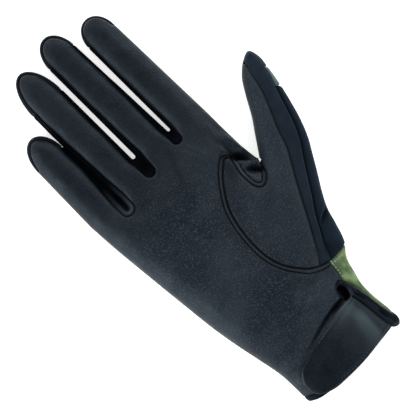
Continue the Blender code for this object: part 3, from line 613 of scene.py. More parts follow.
    def lay_thumb(self) -> None:
        """Lays the thumb's seams between the leather, the side strip, the patch and the back."""
        thumb = self.thumb
        leather_tip = self.add_mark("leather_tip", thumb.spot(*thumb.leather_tip))
        patch_tip = self.add_mark("patch_tip", thumb.spot(thumb.patch_to, thumb.patch_tip_across))
        patch_foot = self.add_mark("patch_foot", thumb.spot(thumb.patch_from, thumb.patch_foot_across))
        crotch, foot = self.marks["thumb_start"], self.marks["thumb_end"]
        strip_foot, leather_foot = plan([self.strip_foot, self.leather_foot])
        wrist_top = plan(self.wrist_line[:1])
        self.foot_run = smooth(np.concatenate([[foot], plan([self.foot_middle]), [strip_foot]]), SEAM_STEP)
        self.strip_run = smooth(np.concatenate([[strip_foot], wrist_top]), SEAM_STEP)
        self.wrist_run = smooth(np.concatenate([wrist_top, [leather_foot]]), SEAM_STEP)
        self.ball = smooth(plan(self.ball_line), SEAM_STEP)
        self.ball[-1] = crotch
        leather_run = thumb.line(Edge.LEATHER, thumb.leather_from, thumb.seams_to)
        self.leather_line = np.concatenate([[leather_tip], leather_run, [leather_foot]])
        strip_run = thumb.line(Edge.STRIP, thumb.patch_to, thumb.seams_to)
        self.strip_line = np.concatenate([strip_run, [strip_foot]])
        at_step = through_rows(np.array([thumb.patch_from]), thumb.rows, Edge.STRIP)
        self.patch_step = thumb.at([thumb.patch_from], at_step)[0]
        past = (self.strip_line - self.patch_step) @ thumb.direction
        clear = SEAM_STEP * 4 / 9
        self.patch_line = np.concatenate([self.strip_line[past > clear], [self.patch_step]])
        self.back_line = np.concatenate([[self.patch_step], self.strip_line[past < -clear]])
        self.patch_cross = smooth(np.stack([self.patch_step, patch_foot]), SEAM_STEP)
        foot_under = thumb.patch_foot_across - thumb.patch_wrap
        tip_under = thumb.patch_tip_across - thumb.patch_wrap_at_tip * thumb.patch_wrap
        under = thumb.at([thumb.patch_from, thumb.patch_to], (foot_under, tip_under))
        self.patch_under = smooth(np.concatenate([[patch_foot], under, [patch_tip]]), SEAM_STEP)
        self.back_thumb = smooth(plan(self.back_thumb_line), SEAM_STEP)
        self.back_thumb[0], self.back_thumb[-1] = foot, crotch

    def crotch_seam(
        self, crotch: Crotch, bottom: float, insets: tuple[float, float], ends: tuple[float, float]
    ) -> Array:
        """Gives a U-shaped seam from the left finger's right edge round the gap to the right finger's left.

        Args:
            crotch: The two fingers and the foot of their gap.
            bottom: The seam's lowest place along the glove.
            insets: The seam's distances from the two edges at the gap's foot.
            ends: The same at the fingertips.

        Returns:
            The seam's points.
        """
        legs = []
        for turn, name, inset, at_tip in zip((1, -1), (crotch.left, crotch.right), insets, ends):
            finger = self.fingers[name]
            places = finger.places(crotch.gap_foot)
            share = (places - crotch.gap_foot) / (places.max() - crotch.gap_foot)
            width = inset + (at_tip - inset) * np.minimum(1.0, self.inset_run * share)
            legs.append(finger.side(turn, places) - np.outer(width * turn, (GLOVE_LENGTH, 0.0)))
        down, up = legs[0][::-1], legs[1]
        centre, half = (down[-1, 0] + up[0, 0]) / 2, (up[0, 0] - down[-1, 0]) / 2
        low = (bottom - 0.5) * GLOVE_LENGTH + half
        turn = np.linspace(np.pi, 2 * np.pi, max(7, int(np.pi * half / SEAM_STEP)))
        arc = np.stack([centre + half * np.cos(turn), low + half * np.sin(turn)], axis=1)
        fall = np.linspace(down[-1, 1], low, max(3, int((down[-1, 1] - low) / SEAM_STEP)))[1:-1, None]
        left_fall, right_fall = (np.insert(fall, 0, centre + turn * half, axis=1) for turn in (-1, 1))
        return np.concatenate([down, left_fall, arc, right_fall[::-1], up])

    def lay_fingers(self) -> None:
        """Lays the leather's edge over the fingertips, and the front and back seams of each crotch."""
        self.tips = {name: finger.tip_edge() for name, finger in self.fingers.items()}
        self.front_gaps, self.back_gaps = [], []
        back = self.back_inset / GLOVE_LENGTH
        for crotch in self.crotches:
            ends = (self.fingers[crotch.left].right, self.fingers[crotch.right].left)
            insets = (crotch.left_inset, crotch.right_inset)
            low = crotch.gap_foot - self.back_crotch / GLOVE_LENGTH
            self.front_gaps.append(self.crotch_seam(crotch, crotch.leather_foot, insets, ends))
            self.back_gaps.append(self.crotch_seam(crotch, low, (back, back), (back, back)))

    def lay_wrist(self) -> None:
        """Lays the wrist's slit, its binding and the tab over it."""
        self.wrist_seam = smooth(plan(self.wrist_line), SEAM_STEP)
        self.slit_edge = smooth(plan(self.slit_line), SEAM_STEP)
        self.slit_at = int(np.argmin(np.linalg.norm(self.hem_top - self.slit_edge[-1], axis=1)))
        self.hem_top[self.slit_at] = self.slit_edge[-1]
        self.mouth_at = int(np.argmin(np.abs(self.mouth[:, 0] - self.slit_edge[-1, 0])))
        self.binding_outside = smooth(plan(self.binding_outside_line), SEAM_STEP)
        self.binding_right = smooth(plan(self.binding_right_line), SEAM_STEP)
        self.binding_left = smooth(plan(self.binding_left_line), SEAM_STEP)
        self.binding_end = smooth(plan(self.binding_end_line), SEAM_STEP)
        self.binding_end[0] = self.marks["wrist_end"]
        self.binding_inside = smooth(plan(self.binding_inside_line), self.tight_step * SEAM_STEP)
        self.tab_edge = smooth(plan(self.tab_line), SEAM_STEP)


@dataclass
class HandForm:
    """The inflated hand that every sheet lies over: a domed palm above a flat back."""

    pattern: Pattern
    # along, edge height, rise, reach, as shares of the palm's depth
    depths: Table = (
        (0.00, 0.42, 0.42, 0.62),
        (0.10, 0.42, 0.43, 0.62),
        (0.22, 0.45, 0.50, 0.75),
        (0.38, 0.45, 0.52, 0.80),
        (0.52, 0.42, 0.48, 0.70),
        (0.62, 0.36, 0.39, 0.50),
        (0.70, 0.34, 0.36, 0.46),
        (0.85, 0.32, 0.34, 0.45),
        (1.00, 0.28, 0.29, 0.42),
    )
    # along the thumb, edge height, rise
    thumb_depths: Table = ((0.00, 0.43, 0.46), (0.50, 0.41, 0.42), (0.80, 0.38, 0.36), (1.00, 0.33, 0.26))
    # along, across, length, breadth, height in metres
    swells: Table = (
        (0.345, 0.037, 0.130, 0.080, 0.0022),
        (0.268, -0.180, 0.130, 0.060, 0.0010),
        (0.390, -0.107, 0.110, 0.060, -0.0015),
        (0.462, 0.080, 0.035, 0.030, -0.0024),
    )
    swell_reach: float = 0.0090
    back_reach: float = 0.75
    rim_gap: float = 0.0003
    past_cuff: float = 0.05
    thumb_reach: float = 0.92
    least_reach: float = 0.0025

    def lie(self, points: Array, side: Side) -> dict[str, Array]:
        """Works out the form over places in plan.

        On the palm the height is edge + rise * sqrt(1 - (1 - d / reach)^2) plus low swells, where d is the
        distance from the hand's edge. The back falls from the edge to a flat at z = 0 in the same way.

        Args:
            points: Places in plan.
            side: The palm or the back.

        Returns:
            The height z, the edge's height, the depth d, and cloth, the place on the unrolled sheet.
        """
        below = np.array([0.0, self.past_cuff * GLOVE_LENGTH])
        edge_line = self.pattern.edge
        line = np.concatenate([edge_line[:1] - below, edge_line, edge_line[-1:] - below])
        depth, away, _ = to_polyline(points, line[:-1], line[1:])
        depth = np.where(depth < TOUCH, 0.0, depth)
        along = points[:, 1] / GLOVE_LENGTH + 0.5
        edge, rise, reach = (through_rows(along, self.depths, column) * PALM_DEPTH for column in (1, 2, 3))
        thumb = self.pattern.thumb
        place, share = thumb.share(points)
        breadth = through_rows(place, thumb.rows, Edge.OUTER) - through_rows(place, thumb.rows, Edge.INNER)
        half = breadth * thumb.length / 2
        edge = edge + share * (through_rows(place, self.thumb_depths, 1) * PALM_DEPTH - edge)
        rise = rise + share * (through_rows(place, self.thumb_depths, 2) * PALM_DEPTH - rise)
        at_thumb = np.minimum(self.thumb_reach * half, reach)
        reach = np.maximum(reach + share * (at_thumb - reach), self.least_reach)
        if side is Side.BACK:
            reach, rise = self.back_reach * reach, edge - self.rim_gap / 2
        inside = np.minimum(1.0, depth / reach)
        bulge = np.sqrt(np.maximum(0.0, 1 - (1 - inside) ** 2))
        if side is Side.PALM:
            z = edge + self.rim_gap / 2 + rise * bulge
            z = z + self.swell(points) * ramp(depth, 0.0, self.swell_reach)
        else:
            z = rise * (1 - bulge)
        over = (reach + rise) / 2 * np.arcsin(1 - inside) - reach * (1 - inside)
        cloth = points - away * np.maximum(over, 0.0)[:, None]
        return {"z": z, "edge": edge, "depth": depth, "cloth": cloth}

    def swell(self, points: Array) -> Array:
        """Adds up the low swells of the palm, each a height times exp of minus the squared distance.

        Args:
            points: Places in plan.

        Returns:
            The height to add at each point.
        """
        table = np.array(self.swells)
        middle = plan(table[:, :2])
        away = (points[:, None] - middle) / (table[:, [3, 2]] * GLOVE_LENGTH)
        return (table[:, 4] * np.exp(-(away**2).sum(axis=2))).sum(axis=1)


class Sheet:
    """One side of a piece: an outline in plan, filled with rings along it and a field of even points."""

    def __init__(self, side: Side, borders: tuple[Border, ...], pattern: Pattern) -> None:
        """Closes the outline, turns it anticlockwise, draws in its seams and fills it.

        Args:
            side: The palm or the back.
            borders: The outline's stretches in order.
            pattern: The glove's pattern, whose edge has the numbers.
        """
        self.side = side
        lengths = [len(border.points) - 1 for border in borders]
        points = np.concatenate([border.points[:-1] for border in borders])
        numbers = np.concatenate(
            [np.full(size, -1) if b.numbers is None else b.numbers[:-1] for b, size in zip(borders, lengths)]
        )
        labels = np.repeat([border.label for border in borders], lengths)
        on_rim = numbers >= 0
        first = np.roll(on_rim, 1) & ~on_rim
        apart = np.linalg.norm(points[first][:, None] - pattern.edge, axis=2)
        numbers[first] = apart.argmin(axis=1)
        after = np.roll(points, -1, axis=0)
        if (points[:, 0] * after[:, 1] - points[:, 1] * after[:, 0]).sum() < 0:
            points, numbers = points[::-1], numbers[::-1]
            labels, on_rim = np.roll(labels[::-1], -1), np.roll(on_rim[::-1], -1)
        self.numbers, self.on_rim, self.labels = numbers, on_rim, labels
        self.loop = self.drawn_in(points, JOIN_GAP / 2)
        self.plan = self.filled()
        self.triangles = self.woven()

    def drawn_in(self, points: Array, by: float) -> Array:
        """Moves each seam of the outline in, along the mean of its two sides' normals.

        Args:
            points: The outline.
            by: How far to move the seams; the hand's edge stays.

        Returns:
            The new outline.
        """
        run = np.roll(points, -1, axis=0) - points
        run /= np.linalg.norm(run, axis=1)[:, None]
        turned = np.stack([-run[:, 1], run[:, 0]], axis=1)
        middle = np.roll(turned, 1, axis=0) + turned
        middle /= np.maximum(np.linalg.norm(middle, axis=1), 1e-9)[:, None]
        rim_before = np.roll(self.on_rim, 1)
        move = middle.copy()
        move[self.on_rim & rim_before] = 0.0
        move[rim_before & ~self.on_rim] = -np.roll(run, 1, axis=0)[rim_before & ~self.on_rim]
        move[~rim_before & self.on_rim] = run[~rim_before & self.on_rim]
        return points + move * by

    def inside(self, points: Array) -> Array:
        """Says whether points lie inside the outline, by counting the sides to their right.

        Args:
            points: Places in plan.

        Returns:
            True for each point inside.
        """
        start, end = self.loop, np.roll(self.loop, -1, axis=0)
        fall = np.where(np.abs(end[:, 1] - start[:, 1]) < 1e-12, 1e-12, end[:, 1] - start[:, 1])
        found = []
        for block in np.array_split(points, len(points) * len(start) // BLOCK + 1):
            above = (start[:, 1] > block[:, None, 1]) != (end[:, 1] > block[:, None, 1])
            at = start[:, 0] + (block[:, None, 1] - start[:, 1]) * (end[:, 0] - start[:, 0]) / fall
            found.append(((block[:, None, 0] < at) & above).sum(axis=1) % 2 == 1)
        return np.concatenate(found)

    def clear_of(self, points: Array, labels: tuple[str, ...] | None = None) -> Array:
        """Measures the distance from points to the outline.

        Args:
            points: Places in plan.
            labels: The stretches to measure to, or None for all.

        Returns:
            The distances; one metre where the outline has no such stretch.
        """
        use = np.ones(len(self.loop), bool) if labels is None else np.isin(self.labels, labels)
        if not use.any():
            return np.ones(len(points))
        return to_polyline(points, self.loop[use], np.roll(self.loop, -1, axis=0)[use])[0]

    def filled(self) -> Array:
        """Fills the outline with rings along it and then an even field of staggered rows.

        Returns:
            The sheet's points, the outline first.
        """
        run = np.roll(self.loop, -1, axis=0) - np.roll(self.loop, 1, axis=0)
        run /= np.linalg.norm(run, axis=1)[:, None]
        inward = np.stack([-run[:, 1], run[:, 0]], axis=1)
        rings = np.concatenate([self.loop + inward * ring for ring in RINGS])
        depth = np.repeat(RINGS, len(self.loop))
        low, high = self.loop.min(axis=0), self.loop.max(axis=0)
        across, along = np.meshgrid(
            np.arange(low[0], high[0], FIELD_STEP), np.arange(low[1], high[1], FIELD_STEP * ROW_RISE)
        )
        across[1::2] += FIELD_STEP / 2
        even = np.stack([across.ravel(), along.ravel()], axis=1)
        points = np.concatenate([rings, even])
        least = np.concatenate([RING_SLACK * depth, np.full(len(even), RINGS[-1] + FIELD_STEP / 2)])
        keep = self.clear_of(points) > least
        points = points[keep]
        return np.concatenate([self.loop, points[self.inside(points)]])

    def woven(self) -> Array:
        """Joins the sheet's points into triangles that keep to the outline.

        Returns:
            The triangles, anticlockwise.

        Raises:
            ValueError: If two points of the sheet are too close to be told apart.
        """
        ring = list(range(len(self.loop)))
        made = delaunay_2d_cdt(self.plan.tolist(), [], [ring], 1, 1e-9)
        if len(made[0]) != len(self.plan):
            raise ValueError(f"{len(self.plan)} points became {len(made[0])}")
        triangles = np.array(made[2])
        corners = self.plan[triangles]
        first, second = corners[:, 1] - corners[:, 0], corners[:, 2] - corners[:, 0]
        turned = first[:, 0] * second[:, 1] - first[:, 1] * second[:, 0] < 0
        triangles[turned] = triangles[turned][:, ::-1]
        return triangles


@dataclass(frozen=True)
class SeamProfile:
    """How the surface runs in from a seam: a tuck at the seam, then a raised roll, then a stitched groove."""

    labels: tuple[str, ...]
    tuck: float = 0.0
    tuck_width: float = 0.0006
    roll: float = 0.0
    roll_at: float = 0.0011
    roll_width: float = 0.0007
    groove: float = 0.0
    groove_at: float = 0.0018
    groove_width: float = 0.0004

    def relief(self, clear: Array) -> Array:
        """Adds three bells of the distance from the seam: minus tuck, plus roll and minus groove.

        Args:
            clear: The distance of each point from the seam.

        Returns:
            The height at each point.
        """
        return (
            -self.tuck * np.exp(-((clear / self.tuck_width) ** 2))
            + self.roll * np.exp(-(((clear - self.roll_at) / self.roll_width) ** 2))
            - self.groove * np.exp(-(((clear - self.groove_at) / self.groove_width) ** 2))
        )


@dataclass(frozen=True)
class Fold:
    """A soft ridge or trough: a bell with a length, a breadth, a turn in degrees and a height."""

    along: float
    across: float
    turn: float
    length: float
    breadth: float
    height: float

    def relief(self, points: Array) -> Array:
        """Gives height * exp(-(u / length)^2 - (v / breadth)^2), with u along the fold and v across it.

        Args:
            points: Places in plan.

        Returns:
            The height at each point.
        """
        off = points - plan([(self.along, self.across)])
        turn = np.radians(self.turn)
        u = off[:, 0] * np.cos(turn) + off[:, 1] * np.sin(turn)
        v = -off[:, 0] * np.sin(turn) + off[:, 1] * np.cos(turn)
        return self.height * np.exp(-((u / self.length) ** 2) - (v / self.breadth) ** 2)


def ripple(points: Array) -> Array:
    """Gives soft unevenness as a sum of sine waves, 7 to 34 mm long, in fixed directions.

    Args:
        points: Places in plan.

    Returns:
        A height of about -1 to 1 at each point.
    """
    count, longest, shortest, weakest = 12, 0.034, 0.007, 0.35
    golden_turn, phase_step, total = 2.399963, 1.7, 5
    numbers = np.arange(count)
    turn = numbers * golden_turn
    wave = 2 * np.pi / np.geomspace(longest, shortest, count)
    phase = points @ np.stack([np.cos(turn), np.sin(turn)]) * wave + numbers * phase_step
    return (np.sin(phase) * np.geomspace(1.0, weakest, count)).sum(axis=1) / total


def normals_of(points: Array, triangles: Array) -> Array:
    """Works out normals, as the sum of the cross products of the triangles round each point.

    Args:
        points: The points.
        triangles: The triangles that join them.

    Returns:
        A unit normal at each point.
    """
    corners = points[triangles]
    cross = np.cross(corners[:, 1] - corners[:, 0], corners[:, 2] - corners[:, 0])
    total = [np.bincount(triangles.ravel(), np.repeat(part, 3), len(points)) for part in cross.T]
    total = np.stack(total, axis=1)
    return total / np.maximum(np.linalg.norm(total, axis=1), 1e-15)[:, None]


def make_object(
    name: str,
    points: Array,
    triangles: Array,
    materials: list[bpy.types.Material],
    slots: Array | None = None,
    cloth: Array | None = None,
    kept: dict[str, Array] | None = None,
) -> bpy.types.Object:
    """Makes a mesh object at the origin from arrays.

    Args:
        name: The piece's name.
        points: Its vertices.
        triangles: Its triangles, anticlockwise from outside.
        materials: Its materials.
        slots: The number of each triangle's material.
        cloth: The place of each vertex on the unrolled sheet, in metres, kept as a UV map.
        kept: Values of each vertex from 0 to 1, kept as attributes under their names.

    Returns:
        The object, riding on the root body.
    """
    mesh = bpy.data.meshes.new(name)
    mesh.vertices.add(len(points))
    mesh.vertices.foreach_set("co", points.astype(np.float32).ravel())
    mesh.loops.add(triangles.size)
    mesh.loops.foreach_set("vertex_index", triangles.astype(np.int32).ravel())
    mesh.polygons.add(len(triangles))
    mesh.polygons.foreach_set("loop_start", np.arange(0, triangles.size, 3, dtype=np.int32))
    for material in materials:
        mesh.materials.append(material)
    if slots is not None:
        mesh.polygons.foreach_set("material_index", slots.astype(np.int32))
    if cloth is not None:
        layer = mesh.uv_layers.new(name="cloth")
        layer.data.foreach_set("uv", cloth[triangles.ravel()].astype(np.float32).ravel())
    for key, values in (kept or {}).items():
        attribute = mesh.attributes.new(key, "FLOAT", "POINT")
        attribute.data.foreach_set("value", values.astype(np.float32))
    mesh.update(calc_edges=True)
    mesh.validate()
    mesh.shade_smooth()
    mesh.set_sharp_from_angle(angle=np.radians(SHARP_DEGREES))
    piece = bpy.data.objects.new(name, mesh)
    bpy.context.scene.collection.objects.link(piece)
    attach(piece, "root")
    return piece


@dataclass
class Shell:
    """A piece of leather or cloth: sheets with relief and thickness, joined along the hand's edge."""

    name: str
    form: HandForm
    sheets: list[Sheet]
    thickness: float
    lift: float = 0.0
    lift_to: float = 1.0
    profiles: tuple[SeamProfile, ...] = ()
    folds: tuple[Fold, ...] = ()
    unevenness: float = 0.0
    sink: float = 0.0
    sink_width: float = 0.0018
    sink_from: float = -1.0
    # the seams that the finishes paint along (paler worn edges, painted highlight, painted light, painted
    # shade), and how far that reaches
    seam_labels: tuple[str, ...] = ()
    seam_reach: float = 0.0009
    sink_run: float = 0.012
    lift_fade: float = 0.015
    relief_fade: float = 0.0017

    def base(self, sheet: Sheet, points: Array) -> tuple[Array, dict[str, Array]]:
        """Gives the form over places in plan, sunk towards the edge's height away from the sheet's seams.

        The height becomes edge + (z - edge) * (1 - sink * ramp(clear)), with clear the distance from the
        seams. The sinking starts at the place sink_from along the glove and is full 12 mm further on.

        Args:
            sheet: The sheet that the places belong to.
            points: Places in plan.

        Returns:
            The points in space, and the form's own values.
        """
        found = self.form.lie(points, sheet.side)
        z = found["z"]
        if self.sink:
            clear = sheet.clear_of(points, self.seam_labels)
            sink = self.sink * ramp(points[:, 1], self.sink_from, self.sink_from + self.sink_run)
            z = found["edge"] + (z - found["edge"]) * (1 - sink * ramp(clear, 0.0, self.sink_width))
        return np.concatenate([points, z[:, None]], axis=1), found

    def relief(self, sheet: Sheet, points: Array, depth: Array) -> Array:
        """Adds up the lift, the seams' profiles, the folds and the unevenness.

        Args:
            sheet: The sheet that the places belong to.
            points: Places in plan.
            depth: Their distances from the hand's edge, where the folds and the unevenness end.

        Returns:
            The height of the relief at each point.
        """
        height = self.lift * (1 - ramp(points[:, 1], self.lift_to - self.lift_fade, self.lift_to))
        for profile in self.profiles:
            height += profile.relief(sheet.clear_of(points, profile.labels))
        fade = ramp(depth, 0.0, self.relief_fade)
        if sheet.side is Side.PALM:
            for fold in self.folds:
                height += fold.relief(points) * fade
        return height + self.unevenness * ripple(points) * fade

    def creases(self, sheet: Sheet, points: Array) -> Array:
        """Says how deep points lie, for painted shade: fully at 1.2 mm in the folds and at 0.8 mm along the
        seams.

        Args:
            sheet: The sheet that the places belong to.
            points: Places in plan.

        Returns:
            A value from 0 to 1 at each point.
        """
        depth = np.zeros(len(points))
        if sheet.side is Side.PALM:
            for fold in self.folds:
                depth -= fold.relief(points) / DEEP_FOLD
        for profile in self.profiles:
            height = profile.relief(sheet.clear_of(points, profile.labels))
            depth += np.maximum(-height, 0.0) / DEEP_SEAM
        return np.clip(depth, 0.0, 1.0)

    def on_surface(self, sheet: Sheet, points: Array) -> tuple[Array, Array]:
        """Finds the piece's outer surface over places in plan.

        Args:
            sheet: The sheet to stay on.
            points: Places in plan, away from the hand's edge.

        Returns:
            The points on the surface and the unit normals there.
        """
        small = 0.00015
        steps = np.array([(0.0, 0.0), (small, 0.0), (-small, 0.0), (0.0, small), (0.0, -small)])
        near = (points[:, None] + steps).reshape(-1, 2)
        base, found = self.base(sheet, near)
        height = self.relief(sheet, near, found["depth"]).reshape(-1, 5)
        spots = base.reshape(-1, 5, 3)
        spots[:, :, 2] += height * sheet.side.value
        x_run, y_run = spots[:, 1] - spots[:, 2], spots[:, 3] - spots[:, 4]
        normal = np.cross(x_run, y_run) * sheet.side.value
        return spots[:, 0], normal / np.linalg.norm(normal, axis=1)[:, None]

    def build(self, outside: bpy.types.Material, lining: bpy.types.Material) -> bpy.types.Object:
        """Makes the closed piece: outer sheets, the strip that joins them, inner sheets and cut edges.

        The outer face is the form plus the relief along its normals, and the inner face lies one thickness
        inside that along the new normals.

        Args:
            outside: The finish of the outer face.
            lining: The finish of the inner face.

        Returns:
            The piece.
        """
        points, triangles, reliefs, cloth, seam, crease, rims = [], [], [], [], [], [], {}
        starts = [0, *accumulate(len(sheet.plan) for sheet in self.sheets)]
        for sheet, start in zip(self.sheets, starts):
            base, found = self.base(sheet, sheet.plan)
            points.append(base)
            cloth.append(found["cloth"] + (BACK_SHIFT * (sheet.side is Side.BACK), 0.0))
            reliefs.append(self.relief(sheet, sheet.plan, found["depth"]))
            # nearness to the seams and depth in the creases, which the finishes paint paler edges, light and
            # shade by
            seam.append(np.exp(-sheet.clear_of(sheet.plan, self.seam_labels or None) / self.seam_reach))
            crease.append(self.creases(sheet, sheet.plan))
            triangles.append(sheet.triangles[:, :: sheet.side.value] + start)
            place = np.flatnonzero(sheet.on_rim)
            after = (place + 1) % len(sheet.loop)
            key = sheet.numbers[place] * MOST_POINTS + sheet.numbers[after]
            rims.setdefault(sheet.side, []).append(np.stack([key, place + start, after + start], axis=1))
        if len(rims) == 2:
            top, low = (np.concatenate(rims[side]) for side in (Side.PALM, Side.BACK))
            _, in_top, in_low = np.intersect1d(top[:, 0], low[:, 0], return_indices=True)
            a, b, under_a, under_b = *top[in_top, 1:].T, *low[in_low, 1:].T
            triangles += [np.stack([b, a, under_a], axis=1), np.stack([b, under_a, under_b], axis=1)]
        points, triangles = np.concatenate(points), np.concatenate(triangles)
        points += normals_of(points, triangles) * np.concatenate(reliefs)[:, None]
        inner = points - normals_of(points, triangles) * self.thickness
        count = len(points)
        ends = np.concatenate([triangles[:, [0, 1]], triangles[:, [1, 2]], triangles[:, [2, 0]]])
        a, b = ends[~np.isin(ends @ (count, 1), ends[:, ::-1] @ (count, 1))].T
        walls = [np.stack([b, a, a + count], axis=1), np.stack([b, a + count, b + count], axis=1)]
        whole = np.concatenate([triangles, triangles[:, ::-1] + count, *walls])
        slots = np.repeat([0, 1, 0], [len(triangles), len(triangles), 2 * len(a)])
        return make_object(
            self.name,
            np.concatenate([points, inner]),
            whole,
            [outside, lining],
            slots,
            np.tile(np.concatenate(cloth), (2, 1)),
            {"seam": np.tile(np.concatenate(seam), 2), "crease": np.tile(np.concatenate(crease), 2)},
        )


@dataclass(frozen=True)
class StitchRow:
    """A row of short stitches, each a tapered bead with six sides."""

    pitch: float = 0.0021
    length: float = 0.0014
    radius: float = 0.00017

    def beads(self, path: Array, normals: Array) -> tuple[Array, Array]:
        """Places a bead at even steps along a path.

        A bead's ring at t from -1 to 1 has the radius r * sqrt(1 - t^2 / 1.05), and its middle bows up by
        r / 2.

        Args:
            path: Points along the row, on the surface.
            normals: The surface's unit normals there.

        Returns:
            The beads' vertices and triangles.
        """
        run = run_length(path)
        middles = np.arange(self.pitch / 2, run[-1] - self.pitch / 2, self.pitch)
        ends = (middles - self.length / 2, middles, middles + self.length / 2)
        back, middle, front = (np.stack([np.interp(at, run, part) for part in path.T], axis=1) for at in ends)
        up = np.stack([np.interp(middles, run, part) for part in normals.T], axis=1)
        forward = front - back
        forward /= np.linalg.norm(forward, axis=1)[:, None]
        across = np.cross(up, forward)
        across /= np.linalg.norm(across, axis=1)[:, None]
        up = np.cross(forward, across)
        t = np.array(BEAD_RINGS)
        blunt, height, bow = 1.05, 0.7, 0.5
        width = self.radius * np.sqrt(1 - t**2 / blunt)
        raised = self.radius * (height - bow * t**2)
        side = np.arange(BEAD_SIDES)
        turn = side * 2 * np.pi / BEAD_SIDES
        local = np.stack(
            [
                np.repeat(t * self.length / 2, BEAD_SIDES),
                np.outer(width, np.cos(turn)).ravel(),
                (np.outer(width, np.sin(turn)) + raised[:, None]).ravel(),
            ],
            axis=1,
        )
        frame = np.stack([forward, across, up], axis=1)
        points = middle[:, None] + np.einsum("vk,nkc->nvc", local, frame)
        last = (len(t) - 1) * BEAD_SIDES
        rows = np.arange(0, last, BEAD_SIDES)[:, None]
        a, b = (rows + side).ravel(), (rows + (side + 1) % BEAD_SIDES).ravel()
        c, d = a + BEAD_SIDES, b + BEAD_SIDES
        fan = side[1:-1]
        caps = [np.stack([fan * 0, fan + 1, fan], axis=1), np.stack([fan * 0, fan, fan + 1], axis=1) + last]
        bead = np.concatenate([np.stack([a, b, d], axis=1), np.stack([a, d, c], axis=1), *caps])
        offsets = np.arange(len(middles))[:, None, None] * len(local)
        return points.reshape(-1, 3), (bead + offsets).reshape(-1, 3)


def offset_path(curve: Array, by: float) -> Array:
    """Moves a curve in plan to its left, without sharp turns.

    Args:
        curve: Places in plan.
        by: How far to move it, below zero to its right.

    Returns:
        Even points along the new curve.
    """
    run = np.gradient(curve, axis=0)
    run /= np.maximum(np.linalg.norm(run, axis=1), 1e-12)[:, None]
    return smooth((curve + np.stack([-run[:, 1], run[:, 0]], axis=1) * by)[::2], PATH_STEP)


